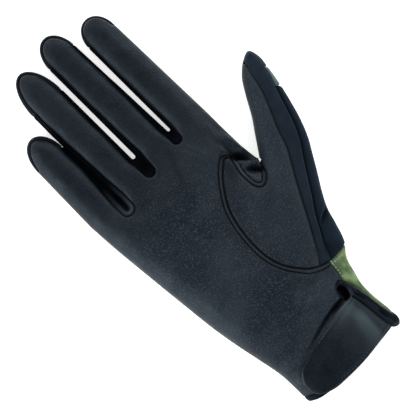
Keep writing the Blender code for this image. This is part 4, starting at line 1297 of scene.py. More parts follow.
class Surface:
    """Wires the nodes of one material round its Principled shader."""

    def __init__(self, name: str, roughness: float, specular: float, sheen: float, tint: Colour) -> None:
        """Starts a material with the values that are the same all over it.

        Args:
            name: The material's name.
            roughness: The mean roughness.
            specular: The specular level.
            sheen: The sheen's weight.
            tint: The sheen's colour.
        """
        self.material = bpy.data.materials.new(name)
        self.material.use_nodes = True
        self.tree = self.material.node_tree
        self.shader = self.tree.nodes["Principled BSDF"]
        self.set("Specular IOR Level", specular)
        self.set("Sheen Weight", sheen)
        self.set("Sheen Roughness", SHEEN_ROUGHNESS)
        self.set("Sheen Tint", tint)
        self.set("Roughness", roughness)
        where = self.tree.nodes.new("ShaderNodeTexCoord")
        self.place, self.cloth = where.outputs["Object"], where.outputs["UV"]

    def feed(self, value: Socket | Colour | float, target: Socket) -> None:
        """Puts a number or a colour on a socket, or links another socket to it.

        Args:
            value: The number, the colour or the other socket.
            target: The socket to feed.
        """
        if isinstance(value, float):
            target.default_value = value
        elif isinstance(value, tuple):
            target.default_value = (*value, 1.0)
        else:
            self.tree.links.new(value, target)

    def set(self, name: str, value: Socket | Colour | float) -> None:
        """Feeds one of the shader's own sockets."""
        self.feed(value, self.shader.inputs[name])

    def node(self, kind: str, values: dict[str, Socket | float]) -> bpy.types.ShaderNode:
        """Adds a node.

        Args:
            kind: Its kind.
            values: What its sockets are fed.

        Returns:
            The node.
        """
        node = self.tree.nodes.new("ShaderNode" + kind)
        for name, value in values.items():
            self.feed(value, node.inputs[name])
        return node

    def noise(self, scale: float, detail: float = 2.0) -> Socket:
        """Gives the value of a noise of so many cells to the metre."""
        node = self.node("TexNoise", {"Scale": scale, "Detail": detail, "Vector": self.place})
        return node.outputs["Fac"]

    def blotches(
        self, scale: float, detail: float, low: float, high: float, to_low: float = 0.0, to_high: float = 1.0
    ) -> Socket:
        """Gives a noise with one range of its value spread onto another."""
        return self.spread(self.noise(scale, detail), low, high, to_low, to_high)

    def cells(self, scale: float) -> Socket:
        """Adds rounded cells.

        Args:
            scale: Their number to the metre.

        Returns:
            The distance from their middles.
        """
        node = self.node("TexVoronoi", {"Scale": scale, "Vector": self.place})
        node.feature = "SMOOTH_F1"
        return node.outputs["Distance"]

    def threads(self, period: float, across: bool, bend: float = 0.0) -> Socket:
        """Adds even threads to the unrolled cloth.

        Args:
            period: The distance from thread to thread.
            across: True for threads side by side across the glove, else along it.
            bend: How much they waver.

        Returns:
            Their height, from 0 to 1.
        """
        scale = np.pi / WAVE_PERIODS / period
        node = self.node("TexWave", {"Scale": scale, "Distortion": bend, "Vector": self.cloth})
        node.bands_direction = "X" if across else "Y"
        return node.outputs["Fac"]

    def kept(self, name: str) -> Socket:
        """Gives a value from 0 to 1 kept on the mesh: how near a seam is, or how deep a crease, for painted
        light and shade.

        Args:
            name: The value's name on the mesh.

        Returns:
            The value.
        """
        node = self.node("Attribute", {})
        node.attribute_name = name
        return node.outputs["Fac"]

    def along(self) -> Socket:
        """Gives the place along the glove, in metres from its middle."""
        return self.node("SeparateXYZ", {"Vector": self.place}).outputs["Y"]

    def spread(
        self, value: Socket, low: float, high: float, to_low: float = 0.0, to_high: float = 1.0
    ) -> Socket:
        """Maps a range of a value onto another range.

        Args:
            value: The value.
            low: Where its range starts.
            high: Where its range ends.
            to_low: Where the new range starts.
            to_high: Where the new range ends.

        Returns:
            The new value.
        """
        ends = {"From Min": low, "From Max": high, "To Min": to_low, "To Max": to_high}
        return self.node("MapRange", {**ends, "Value": value}).outputs["Result"]

    def maths(self, rule: Rule, first: Socket, second: Socket | float) -> Socket:
        """Combines two values.

        Args:
            rule: How to combine them.
            first: The first value.
            second: The second value, or a number.

        Returns:
            The combined value.
        """
        node = self.node("Math", {})
        node.operation = rule.value
        for value, socket in zip((first, second), node.inputs):
            self.feed(value, socket)
        return node.outputs["Value"]

    def blend(self, share: Socket, first: Socket | Colour, second: Socket | Colour) -> Socket:
        """Mixes two colours.

        Args:
            share: The second colour's share.
            first: The first colour.
            second: The second colour.

        Returns:
            The mixed colour.
        """
        node = self.node("Mix", {})
        node.data_type = "RGBA"
        for value, socket in zip((share, first, second), (node.inputs["Factor"], *node.inputs[6:8])):
            self.feed(value, socket)
        return node.outputs[2]

    def bump(self, height: Socket, strength: float, depth: float) -> None:
        """Sets a bump.

        Args:
            height: The height, from 0 to 1.
            strength: The bump's strength.
            depth: The depth of its full range, in metres.
        """
        node = self.node("Bump", {"Strength": strength, "Distance": depth, "Height": height})
        self.set("Normal", node.outputs["Normal"])


@dataclass(frozen=True)
class LeatherFinish:
    """Thin synthetic leather: fine round grain, pale speckles, and edges painted paler, as worn leather and
    as painted highlight.
    """

    name: str
    dark: Colour = (0.0034, 0.0056, 0.0092)
    mid: Colour = (0.0132, 0.0176, 0.0228)
    pale: Colour = (0.0400, 0.0510, 0.0590)
    speckle: float = 0.55
    grain: float = 1500.0
    roughness: float = 0.50
    specular: float = 0.25
    # paler seam edges, partly worn leather and partly painted highlight
    rubbed_wear_and_highlight: float = 0.0
    # painted shade: the leather painted darker towards the fingers, over the given stretch along the glove
    shade_over_fingers: float = 0.0
    finger_shade_from: tuple[float, float] = (-0.005, 0.035)
    sheen: float = 0.03
    tint: Colour = (0.55, 0.68, 0.75)
    shine: Colour = (0.62, 0.80, 1.0)
    # painted shade: its colour as a share of the dark tone, and its share in the creases
    shade_tone_share: float = 0.1
    crease_shade_share: float = 0.85
    pore_share: float = 0.9
    relief: float = 0.00020
    bump: float = 0.6
    smoother: float = 0.07
    rougher: float = 0.09
    # cells to the metre, detail, and the range of the value that counts
    clouds: tuple[float, ...] = (30.0, 5.0, 0.40, 0.62)
    flecks: tuple[float, ...] = (1300.0, 2.0, 0.52, 0.66)
    gloss: tuple[float, ...] = (160.0, 3.0, 0.3, 0.7)
    pores: tuple[float, float] = (620.0, 4.0)

    def material(self) -> bpy.types.Material:
        """Wires leather: cloudy base, speckles, worn edges with painted highlight, painted shade in creases
        and over fingers, grain.

        Returns:
            The material.
        """
        surface = Surface(self.name, self.roughness, self.specular, self.sheen, self.tint)
        surface.set("Specular Tint", self.shine)
        base = surface.blend(surface.blotches(*self.clouds), self.dark, self.mid)
        base = surface.blend(surface.blotches(*self.flecks, 0.0, self.speckle), base, self.pale)
        # paler along the seams: worn edges and painted highlight
        edges = surface.maths(Rule.MULTIPLY, surface.kept("seam"), self.rubbed_wear_and_highlight)
        base = surface.blend(edges, base, self.pale)
        # the colour of the painted shade
        deep = tuple(self.shade_tone_share * part for part in self.dark)
        # painted shade over the fingers
        fingers = surface.spread(surface.along(), *self.finger_shade_from, 0.0, self.shade_over_fingers)
        base = surface.blend(fingers, base, deep)
        # painted shade in the creases and seam grooves
        creases = surface.maths(Rule.MULTIPLY, surface.kept("crease"), self.crease_shade_share)
        surface.set("Base Color", surface.blend(creases, base, deep))
        grain = surface.cells(self.grain)
        pores = surface.maths(Rule.MULTIPLY, surface.noise(*self.pores), self.pore_share)
        surface.bump(surface.maths(Rule.ADD, grain, pores), self.bump, self.relief)
        low, high = self.roughness - self.smoother, self.roughness + self.rougher
        surface.set("Roughness", surface.blotches(*self.gloss, low, high))
        return surface.material


@dataclass(frozen=True)
class ClothFinish:
    """Woven or knitted cloth: threads in relief, a cloudy dye and a soft sheen."""

    name: str
    dark: Colour
    pale: Colour
    weave: Weave = Weave.PLAIN
    period: float = 0.0007
    blotch: float = 120.0
    contrast: tuple[float, float] = (0.35, 0.65)
    roughness: float = 0.85
    sheen: float = 0.18
    tint: Colour = (0.4, 0.5, 0.7)
    specular: float = 0.18
    # painted light: a pale colour near the seams up to a place along the glove, off by default
    painted_light: Colour = (0.0420, 0.0480, 0.0560)
    painted_light_below: float | None = None
    shine: Colour = (0.60, 0.80, 1.0)
    top_share: float = 0.18
    # painted shade near the seams and in the creases, and its colour as a share of the dark tone
    shade_share: float = 0.85
    shade_tone_share: float = 0.25
    relief: float = 0.00012
    bump: float = 0.5
    fuzz: float = 900.0
    smoother: float = 0.08
    rougher: float = 0.05
    dye_detail: float = 3.0
    knit_row: float = 0.8
    knit_bends: tuple[float, float] = (1.0, 1.5)
    painted_light_fade: tuple[float, float] = (-0.006, 0.008)
    painted_light_edge: tuple[float, float] = (0.05, 0.22)

    def material(self) -> bpy.types.Material:
        """Wires the cloth: blotches in the dye, paler thread tops, painted light and painted shade, and the
        weave in the bump.

        Returns:
            The material.
        """
        surface = Surface(self.name, self.roughness, self.specular, self.sheen, self.tint)
        surface.set("Specular Tint", self.shine)
        if self.weave is Weave.RIB:
            threads = surface.threads(self.period, True)
        elif self.weave is Weave.KNIT:
            row_bend, column_bend = self.knit_bends
            rows = surface.threads(self.period * self.knit_row, False, row_bend)
            threads = surface.maths(Rule.MULTIPLY, surface.threads(self.period, True, column_bend), rows)
        else:
            rows = surface.threads(self.period, False)
            threads = surface.maths(Rule.MAXIMUM, surface.threads(self.period, True), rows)
        dye = surface.blotches(self.blotch, self.dye_detail, *self.contrast)
        base = surface.blend(dye, self.dark, self.pale)
        tops = surface.maths(Rule.MULTIPLY, threads, self.top_share)
        base = surface.blend(tops, base, self.pale)
        # painted light near the seams at the strip's foot
        if self.painted_light_below is not None:
            start, end = (self.painted_light_below + step for step in self.painted_light_fade)
            low = surface.spread(surface.along(), start, end, 1.0, 0.0)
            edge = surface.spread(surface.kept("seam"), *self.painted_light_edge)
            base = surface.blend(surface.maths(Rule.MULTIPLY, low, edge), base, self.painted_light)
        # painted shade near the seams and in the creases
        shade = surface.maths(Rule.MAXIMUM, surface.kept("seam"), surface.kept("crease"))
        shade = surface.maths(Rule.MULTIPLY, shade, self.shade_share)
        deep = tuple(self.shade_tone_share * part for part in self.dark)
        surface.set("Base Color", surface.blend(shade, base, deep))
        surface.bump(surface.maths(Rule.ADD, threads, surface.noise(self.fuzz)), self.bump, self.relief)
        hollows, tops = self.roughness + self.rougher, self.roughness - self.smoother
        surface.set("Roughness", surface.spread(threads, 0.0, 1.0, hollows, tops))
        return surface.material


@dataclass(frozen=True)
class ThreadFinish:
    """Twisted sewing thread."""

    name: str
    dark: Colour
    pale: Colour
    roughness: float = 0.7
    specular: float = 0.15
    tint: Colour = (0.6, 0.7, 0.8)
    twist: tuple[float, float] = (2600.0, 1.0)
    contrast: tuple[float, float] = (0.4, 0.6)
    relief: float = 0.00008
    bump: float = 0.4

    def material(self) -> bpy.types.Material:
        """Wires the thread: two tones in fine flecks, with the twist in the bump.

        Returns:
            The material.
        """
        surface = Surface(self.name, self.roughness, self.specular, 0.0, self.tint)
        twist = surface.noise(*self.twist)
        surface.set("Base Color", surface.blend(surface.spread(twist, *self.contrast), self.dark, self.pale))
        surface.bump(twist, self.bump, self.relief)
        return surface.material


@dataclass
class Wardrobe:
    """Every finish of the glove, made once."""

    def __post_init__(self) -> None:
        """Makes the materials."""
        # worn edges with a painted highlight along the ball's seam, and painted shade over the fingers
        self.leather = LeatherFinish("black_leather", rubbed_wear_and_highlight=0.50, shade_over_fingers=0.70).material()
        # worn edges with a painted highlight along its seam to the side strip
        self.thumb_leather = LeatherFinish(
            "thumb_leather", (0.0036, 0.0058, 0.0090), (0.0092, 0.0126, 0.0172), speckle=0.50, roughness=0.55,
            rubbed_wear_and_highlight=0.60,
        ).material()
        # painted shade: darker than the palm's leather; painted highlight: a pale colour near its foot by the
        # binding
        self.tab_leather = LeatherFinish(
            "tab_leather", (0.0008, 0.0010, 0.0026), (0.0024, 0.0030, 0.0056), (0.125, 0.175, 0.195), 0.04,
            1700.0, 0.42, rubbed_wear_and_highlight=0.85,
        ).material()
        self.suede = ClothFinish(
            "leather_wrong_side", (0.010, 0.011, 0.012), (0.020, 0.021, 0.023), Weave.KNIT, 0.0005, sheen=0.4
        ).material()
        self.navy = ClothFinish(
            "navy_stretch_cloth", (0.0036, 0.0070, 0.0125), (0.0074, 0.0125, 0.0195), Weave.RIB, 0.0006
        ).material()
        self.light_navy = ClothFinish(
            "light_navy_cloth", (0.0020, 0.0048, 0.0095), (0.0042, 0.0090, 0.0165), Weave.RIB, 0.0006,
            sheen=0.06, tint=(0.36, 0.58, 0.90), specular=0.11,
        ).material()
        self.patch = ClothFinish(
            "grey_green_cloth", (0.064, 0.100, 0.106), (0.146, 0.208, 0.204), tint=(0.6, 0.7, 0.7)
        ).material()
        self.olive = ClothFinish(
            "olive_cloth", (0.050, 0.086, 0.036), (0.175, 0.250, 0.112), Weave.PLAIN, 0.0006, 150.0,
            (0.38, 0.62), tint=(0.6, 0.7, 0.5), sheen=0.12,
        ).material()
        self.black = ClothFinish(
            "black_stretch_cloth", (0.0024, 0.0034, 0.0062), (0.0056, 0.0078, 0.0125), Weave.KNIT, 0.0008,
            sheen=0.08, specular=0.12,
        ).material()
        # painted shade: the black cloth painted darker than the finger backs', for the deep gaps between the
        # fingers
        shaded_gusset = ClothFinish(
            "black_shaded_gusset_cloth", (0.0006, 0.0008, 0.0015), (0.0020, 0.0026, 0.0044), Weave.KNIT, 0.0008,
            sheen=0.0, specular=0.05, roughness=0.92,
        )
        self.shaded_gusset = shaded_gusset.material()
        # painted light at the foot of the little finger's gap
        self.painted_light_shaded_gusset = replace(shaded_gusset, name="painted_light_shaded_gusset_cloth", painted_light_below=0.034).material()
        self.tape = ClothFinish(
            "black_binding_tape", (0.0010, 0.0015, 0.0030), (0.0034, 0.0046, 0.0080), Weave.RIB, 0.0008,
            roughness=0.54, sheen=0.0, specular=0.20,
        ).material()
        self.dark_thread = ThreadFinish(
            "dark_thread", (0.0006, 0.0008, 0.0014), (0.0018, 0.0023, 0.0036)
        ).material()
        self.grey_thread = ThreadFinish(
            "grey_thread", (0.0200, 0.0250, 0.0310), (0.0480, 0.0580, 0.0690)
        ).material()
        self.pale_thread = ThreadFinish("pale_thread", (0.20, 0.27, 0.18), (0.40, 0.49, 0.36)).material()


@dataclass
class Maker:
    """What every sub-assembly needs: the pattern, the form and the finishes."""

    pattern: Pattern
    form: HandForm
    finishes: Wardrobe

    def sheet(self, side: Side, *borders: Border) -> Sheet:
        """Fills an outline on one side of the glove."""
        return Sheet(side, borders, self.pattern)

    def finish(
        self, shell: Shell, outside: bpy.types.Material, lining: bpy.types.Material, node: str
    ) -> None:
        """Builds a shell in place of a node and reports it.

        Args:
            shell: The piece to build.
            outside: The finish of its outer face.
            lining: The finish of its inner face.
            node: The node that it stands for.
        """
        piece = shell.build(outside, lining)
        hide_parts(node)
        LOG.info("%s: %d triangles in place of %s", piece.name, len(piece.data.polygons), node)

    def stitches(
        self, name: str, rows: list[tuple[Shell, Sheet, Array]], thread: bpy.types.Material, row: StitchRow
    ) -> None:
        """Sews rows of stitches as one piece.

        Args:
            name: The piece's name.
            rows: For each row, its shell, the sheet it lies on and its path in plan.
            thread: The thread's finish.
            row: The stitches' sizes.
        """
        made = [row.beads(*shell.on_surface(sheet, path)) for shell, sheet, path in rows]
        starts = [0, *accumulate(len(points) for points, _ in made)]
        points = np.concatenate([points for points, _ in made])
        triangles = np.concatenate([faces + start for (_, faces), start in zip(made, starts)])
        make_object(name, points, triangles, [thread])
        LOG.info("%s: %d stitches", name, len(points) // (BEAD_SIDES * len(BEAD_RINGS)))


@dataclass
class PalmAndThumb:
    """The leather palm, the thumb's leather, its side strip, patch and back, and the seam round its ball."""

    maker: Maker
    leather: float = 0.0012
    cloth: float = 0.0010
    top_stitch_in: float = 0.0019
    folds: tuple[Fold, ...] = (
        Fold(0.5110, 0.0800, 143.0, 0.0062, 0.0018, -0.0046),
        Fold(0.5040, 0.0885, 118.0, 0.0052, 0.0016, -0.0044),
        Fold(0.4850, 0.0845, 143.0, 0.0056, 0.0010, 0.0015),
        Fold(0.4655, 0.0870, 140.0, 0.0042, 0.0016, -0.0044),
        Fold(0.5370, 0.0765, 108.0, 0.0060, 0.0014, -0.0018),
        Fold(0.5420, 0.0885, 100.0, 0.0090, 0.0010, 0.0014),
        Fold(0.1265, 0.0020, 5.0, 0.0110, 0.0015, -0.0024),
        Fold(0.1150, -0.0620, 11.0, 0.0120, 0.0013, -0.0014),
        Fold(0.175, -0.060, 24.0, 0.0260, 0.0042, 0.0012),
        Fold(0.150, -0.115, 20.0, 0.0240, 0.0040, -0.0009),
        Fold(0.205, -0.020, 30.0, 0.0220, 0.0036, 0.0008),
        Fold(0.600, 0.010, 112.0, 0.0160, 0.0022, 0.0009),
        Fold(0.585, -0.040, 70.0, 0.0140, 0.0026, -0.0008),
        Fold(0.570, 0.060, 80.0, 0.0150, 0.0026, -0.0006),
    )

    def front(self) -> Array:
        """Joins the leather's edge over the four fingertips and round the three crotches.

        Returns:
            Places in plan from left to right.
        """
        pattern = self.maker.pattern
        stretches = []
        for number, name in enumerate(pattern.fingers):
            stretches.append(pattern.tips[name])
            if number < len(pattern.front_gaps):
                stretches.append(pattern.front_gaps[number])
        ends = pattern.marks["little_tip_start"][None], pattern.marks["index_tip_end"][None]
        return join(ends[0], *stretches, ends[1])

    def build(self) -> None:
        """Builds the leather pieces, then the cloth ones, then sews the seam round the ball of the thumb."""
        maker, pattern = self.maker, self.maker.pattern
        self.palm_sheet = maker.sheet(
            Side.PALM,
            pattern.rim("hem_left", "little_tip_start"),
            Border("finger", self.front()),
            pattern.rim("index_tip_end", "thumb_start"),
            Border("ball", pattern.ball[::-1]),
            Border("ball", pattern.wrist_run[::-1]),
            Border("wrist", pattern.wrist_seam),
            Border("binding", pattern.binding_outside[::-1]),
            Border("slit", pattern.slit_edge),
            Border("hem", pattern.hem_top[: pattern.slit_at + 1][::-1]),
        )
        self.palm = Shell(
            "palm_leather", maker.form, [self.palm_sheet], self.leather,
            profiles=(
                SeamProfile(("finger",), tuck=0.0006, tuck_width=0.0008),
                SeamProfile(("ball",), tuck=0.0013, tuck_width=0.0004, roll=0.0008, roll_at=0.0010,
                            roll_width=0.00036, groove=0.0010, groove_at=0.0019, groove_width=0.00036),
                SeamProfile(("wrist", "binding"), tuck=0.0005, roll=0.0002, roll_at=0.0012),
            ),
            folds=self.folds, unevenness=0.00036, seam_labels=("ball",), seam_reach=0.0011,
        )
        finishes = maker.finishes
        maker.finish(self.palm, finishes.leather, finishes.suede, "palm_panel")
        self.build_thumb()
        path = offset_path(join(pattern.ball[::-1], pattern.wrist_run[::-1])[::-1], self.top_stitch_in)
        maker.stitches(
            "ball_seam_stitches", [(self.palm, self.palm_sheet, path)], finishes.dark_thread,
            StitchRow(0.0020, 0.0013, 0.00030),
        )

    def build_thumb(self) -> None:
        """Builds the thumb's leather, side strip, tip patch and back."""
        maker, pattern, finishes = self.maker, self.maker.pattern, self.maker.finishes
        tucked = SeamProfile(("ball", "thumb_leather"), tuck=0.0008, tuck_width=0.0007)
        front = maker.sheet(
            Side.PALM,
            pattern.rim("thumb_start", "leather_tip"),
            Border("thumb_leather", pattern.leather_line),
            Border("ball", pattern.ball),
        )
        shell = Shell(
            "thumb_leather", maker.form, [front], self.leather, profiles=(tucked,),
            folds=(
                Fold(0.420, 0.030, 60.0, 0.0130, 0.0026, 0.0005),
                Fold(0.400, 0.062, 35.0, 0.0110, 0.0030, -0.0005),
                Fold(0.497, 0.036, 62.0, 0.0085, 0.0032, -0.0010),
            ),
            unevenness=0.00022, seam_labels=("thumb_leather",), seam_reach=0.0013,
        )
        maker.finish(shell, finishes.thumb_leather, finishes.suede, "thumb_panel")
        strip = maker.sheet(
            Side.PALM,
            pattern.rim("leather_tip", "patch_tip"),
            Border("strip", join(pattern.marks["patch_tip"][None], pattern.strip_line)),
            Border("strip_foot", join(pattern.strip_run, pattern.wrist_run)),
            Border("thumb_leather", pattern.leather_line[::-1]),
        )
        edges = SeamProfile(("thumb_leather", "strip", "strip_foot"), tuck=0.0010, tuck_width=0.0005)
        shell = Shell(
            "thumb_side_cloth", maker.form, [strip], self.cloth, profiles=(edges,), unevenness=0.00015,
            seam_labels=("thumb_leather", "strip", "strip_foot"),
        )
        maker.finish(shell, finishes.navy, finishes.suede, "thumb_side_strip")
        around = pattern.rim("patch_tip", "patch_foot")
        tip, foot = pattern.marks["patch_tip"][None], pattern.marks["patch_foot"][None]
        over = join(pattern.patch_cross[::-1], pattern.patch_line[::-1], tip)
        patch = [
            maker.sheet(Side.PALM, around, Border("patch", over)),
            maker.sheet(Side.BACK, around, Border("patch", pattern.patch_under)),
        ]
        shell = Shell(
            "thumb_tip_cloth", maker.form, patch, self.cloth,
            profiles=(SeamProfile(("patch",), tuck=0.0003, tuck_width=0.0005),), seam_labels=("patch",),
        )
        maker.finish(shell, finishes.patch, finishes.suede, "thumb_tip_patch")
        rest = pattern.rim("patch_foot", "thumb_end")
        back = [
            maker.sheet(
                Side.PALM,
                rest,
                Border("foot", pattern.foot_run),
                Border("strip", pattern.back_line[::-1]),
                Border("patch", join(pattern.patch_cross, foot)),
            ),
            maker.sheet(
                Side.BACK,
                pattern.rim("thumb_start", "patch_tip"),
                Border("patch", pattern.patch_under[::-1]),
                rest,
                Border("back_thumb", pattern.back_thumb),
            ),
        ]
        shell = Shell(
            "thumb_back_cloth", maker.form, back, self.cloth,
            profiles=(SeamProfile(("strip", "foot", "patch", "back_thumb"), tuck=0.0010, tuck_width=0.0005),),
            folds=(
                Fold(0.2880, 0.1200, 24.0, 0.0050, 0.0011, -0.0022),
                Fold(0.2990, 0.1210, 24.0, 0.0050, 0.0012, 0.0007),
            ),
            unevenness=0.00015, seam_labels=("strip", "foot", "patch", "back_thumb"),
        )
        maker.finish(shell, finishes.light_navy, finishes.suede, "thumb_back")


@dataclass
class BackOfHand:
    """The olive back and wrist, the dark backs of the fingers, and the strips between the fingers."""

    maker: Maker
    cloth: float = 0.0010
    sinks: tuple[float, ...] = (0.88, 0.62, 0.74)
    lifts: tuple[float, ...] = (0.00032, 0.0, 0.0)
    lift_to: float = 0.093
    sink_before: float = 0.001
    foot_stitches_in: float = 0.0017
    wrist_stitches_in: float = 0.0009
    knuckle_stitches_in: float = 0.0016

    def build(self) -> None:
        """Builds the back of the hand, the finger backs and the three strips between the fingers."""
        self.build_back()
        self.build_finger_backs()
        self.build_fourchettes()

    def build_back(self) -> None:
        """Builds the back, which turns round to the palm's side at the wrist, and sews its pale stitches."""
        maker, pattern, finishes = self.maker, self.maker.pattern, self.maker.finishes
        right = pattern.rim("wrist_start", "hem_right")
        foot = join(pattern.strip_run[::-1], pattern.foot_run[::-1])
        front = maker.sheet(
            Side.PALM,
            right,
            Border("binding", join(pattern.marks["hem_right"][None], pattern.binding_right[::-1])),
            Border("wrist", pattern.wrist_seam[::-1]),
            Border("foot", foot),
        )
        back = maker.sheet(
            Side.BACK,
            pattern.rim("hem_left", "knuckle_left"),
            Border("knuckle", pattern.knuckles),
            pattern.rim("knuckle_right", "thumb_start"),
            Border("back_thumb", pattern.back_thumb[::-1]),
            right,
            Border("hem", pattern.hem_top[::-1]),
        )
        labels = ("binding", "wrist", "foot", "knuckle", "back_thumb")
        shell = Shell(
            "wrist_and_back_cloth", maker.form, [front, back], self.cloth,
            profiles=(SeamProfile(labels, tuck=0.0004, tuck_width=0.0006),), unevenness=0.00012,
            seam_labels=labels,
        )
        maker.finish(shell, finishes.olive, finishes.black, "back_panel")
        rows = [
            (shell, front, offset_path(foot[:-3], -self.foot_stitches_in)),
            (shell, front, offset_path(pattern.wrist_seam, self.wrist_stitches_in)),
        ]
        maker.stitches("wrist_cloth_stitches", rows, finishes.pale_thread, StitchRow(0.0019, 0.0013, 0.00022))
        rows = [(shell, back, offset_path(pattern.knuckles[4:-4], -self.knuckle_stitches_in))]
        maker.stitches("knuckle_stitches", rows, finishes.pale_thread, StitchRow())

    def build_finger_backs(self) -> None:
        """Builds the backs of the fingers, which show from the front as dark rims round the tips."""
        maker, pattern, finishes = self.maker, self.maker.pattern, self.maker.finishes
        sheets, outline = [], [pattern.rim("knuckle_left", "little_tip_end")]
        for name in pattern.fingers:
            around = pattern.rim(name + "_tip_start", name + "_tip_end")
            edge = join(around.points[-1:], pattern.tips[name][::-1], around.points[:1])
            sheets.append(maker.sheet(Side.PALM, around, Border("tip", edge)))
        for crotch, gap in zip(pattern.crotches, pattern.back_gaps):
            ends = pattern.marks[crotch.left + "_tip_end"], pattern.marks[crotch.right + "_tip_start"]
            outline.append(Border("gap", join(ends[0][None], gap, ends[1][None])))
            last = "knuckle_right" if crotch.right == "index" else crotch.right + "_tip_end"
            outline.append(pattern.rim(crotch.right + "_tip_start", last))
        outline.append(Border("knuckle", pattern.knuckles[::-1]))
        sheets.append(maker.sheet(Side.BACK, *outline))
        shell = Shell(
            "finger_back_cloth", maker.form, sheets, self.cloth,
            profiles=(SeamProfile(("tip", "gap", "knuckle"), tuck=0.0003, tuck_width=0.0005),),
            unevenness=0.00010, seam_labels=("tip", "gap", "knuckle"),
        )
        maker.finish(shell, finishes.black, finishes.suede, "finger_backs")

    def build_fourchettes(self) -> None:
        """Builds the strips between the fingers, each sunk below the leather on both sides of it."""
        maker, pattern, finishes = self.maker, self.maker.pattern, self.maker.finishes
        # cloth painted darker as shade in the gaps, with painted light at the foot of the first
        cloths = (finishes.painted_light_shaded_gusset, finishes.shaded_gusset, finishes.shaded_gusset)
        rows = zip(pattern.crotches, pattern.front_gaps, pattern.back_gaps, self.sinks, self.lifts, cloths)
        for crotch, *seams, sink, lift, cloth in rows:
            start, end = crotch.left + "_tip_end", crotch.right + "_tip_start"
            around = pattern.rim(start, end)
            edges = [join(around.points[-1:], seam[::-1], around.points[:1]) for seam in seams]
            strips = [maker.sheet(side, around, Border("gap", edge)) for side, edge in zip(Side, edges)]
            name = f"{crotch.left}_{crotch.right}"
            profile = SeamProfile(("gap",), tuck=0.0002, roll=0.0001, roll_at=0.0011, roll_width=0.0005)
            shell = Shell(
                "fourchette_cloth_" + name, maker.form, strips, self.cloth, lift, self.lift_to,
                profiles=(profile,), sink=sink, seam_labels=("gap",),
                sink_from=(crotch.leather_foot - 0.5) * GLOVE_LENGTH - self.sink_before,
            )
            maker.finish(shell, cloth, finishes.shaded_gusset, "fourchette_" + name)


@dataclass
class WristClosure:
    """The bound slit, the leather tab over it and the hem of the cuff."""

    maker: Maker
    tab_thickness: float = 0.0016
    tab_lift: float = 0.0004
    binding_thickness: float = 0.0024
    binding_raise: float = 0.0009
    hem_thickness: float = 0.0015
    sewn_to: float = -0.0240
    tab_stitches_in: float = 0.0017
    cut_step: float = 0.0008

    def build(self) -> None:
        """Builds the binding, the tab and the hem, and sews the tab."""
        maker, pattern, finishes = self.maker, self.maker.pattern, self.maker.finishes
        top = np.stack([pattern.binding_inside[-1], pattern.binding_outside[0]])
        sheet = maker.sheet(
            Side.PALM,
            Border("tape", pattern.binding_outside),
            Border("tape", join(pattern.binding_right, pattern.marks["hem_right"][None])),
            pattern.rim("hem_right", "wrist_end"),
            Border("tape", pattern.binding_end),
            Border("tape", pattern.binding_left),
            Border("tape", pattern.binding_inside),
            Border("tape", smooth(top, PATH_STEP)),
        )
        ribs = SeamProfile(("tape", "edge"), tuck=0.0012, tuck_width=0.0005, roll=0.0007, roll_at=0.0014,
                           roll_width=0.0005, groove=0.0012, groove_at=0.0027, groove_width=0.0007)
        binding = Shell(
            "slit_binding_tape", maker.form, [sheet], self.binding_thickness, self.binding_raise,
            profiles=(ribs,), seam_labels=("tape",),
        )
        maker.finish(binding, finishes.tape, finishes.tape, "slit_binding")
        self.build_tab()
        self.build_hem()

    def build_tab(self) -> None:
        """Builds the tab with rounded edges and its rows of stitches; its face is left plain."""
        maker, pattern, finishes = self.maker, self.maker.pattern, self.maker.finishes
        edge = pattern.tab_edge
        sewn = np.flatnonzero(edge[:, 0] < self.sewn_to)
        first, last = sewn[0], sewn[-1]
        sheet = maker.sheet(
            Side.PALM,
            Border("sewn", edge[: first + 1]),
            Border("tab_end", edge[first : last + 1]),
            Border("sewn", edge[last:]),
            Border("tab_foot", pattern.binding_left),
        )
        tab = Shell(
            "tab_leather", maker.form, [sheet], self.tab_thickness, self.tab_lift + self.tab_thickness,
            profiles=(
                SeamProfile(("sewn", "tab_end"), tuck=0.0006, tuck_width=0.0004),
                SeamProfile(("sewn",), groove=0.00045, groove_at=0.0017),
                SeamProfile(("tab_foot",), tuck=0.0006, tuck_width=0.0006),
                SeamProfile(("tab_foot",), tuck=0.0017, tuck_width=0.0056),
            ),
            folds=(
                Fold(0.116, -0.004, 5.0, 0.0140, 0.0036, 0.0011),
                Fold(0.070, 0.020, 80.0, 0.0160, 0.0036, 0.0009),
                Fold(0.065, -0.010, 70.0, 0.0140, 0.0035, -0.0004),
                Fold(0.050, -0.120, 30.0, 0.0140, 0.0050, -0.0004),
            ),
            # a wide reach for the painted highlight near the binding
            unevenness=0.00018, seam_labels=("tab_foot",), seam_reach=0.0060,
        )
        maker.finish(tab, finishes.tab_leather, finishes.suede, "closure_tab")
        paths = [offset_path(part, self.tab_stitches_in) for part in (edge[2:first], edge[last:-2])]
        rows = [(tab, sheet, path) for path in paths]
        maker.stitches("tab_stitches", rows, finishes.grey_thread, StitchRow(0.0019, 0.0012, 0.00024))

    def build_hem(self) -> None:
        """Builds the hem round the cuff's mouth."""
        maker, pattern, finishes = self.maker, self.maker.pattern, self.maker.finishes
        left = pattern.rim("left_start", "hem_left")
        cut = np.stack([pattern.hem_top[pattern.slit_at], pattern.mouth[pattern.mouth_at]])
        hem = [
            maker.sheet(
                Side.PALM,
                left,
                Border("top", pattern.hem_top[: pattern.slit_at + 1]),
                Border("cut", smooth(cut, self.cut_step)),
                Border("mouth", pattern.mouth[: pattern.mouth_at + 1][::-1]),
            ),
            maker.sheet(
                Side.BACK,
                left,
                Border("top", pattern.hem_top),
                pattern.rim("hem_right", "wrist_end"),
                Border("mouth", pattern.mouth[::-1]),
            ),
        ]
        shell = Shell(
            "cuff_hem_tape", maker.form, hem, self.hem_thickness,
            profiles=(SeamProfile(("top", "mouth"), tuck=0.0004, tuck_width=0.0005),),
            seam_labels=("top", "mouth"),
        )
        maker.finish(shell, finishes.black, finishes.black, "cuff_hem")


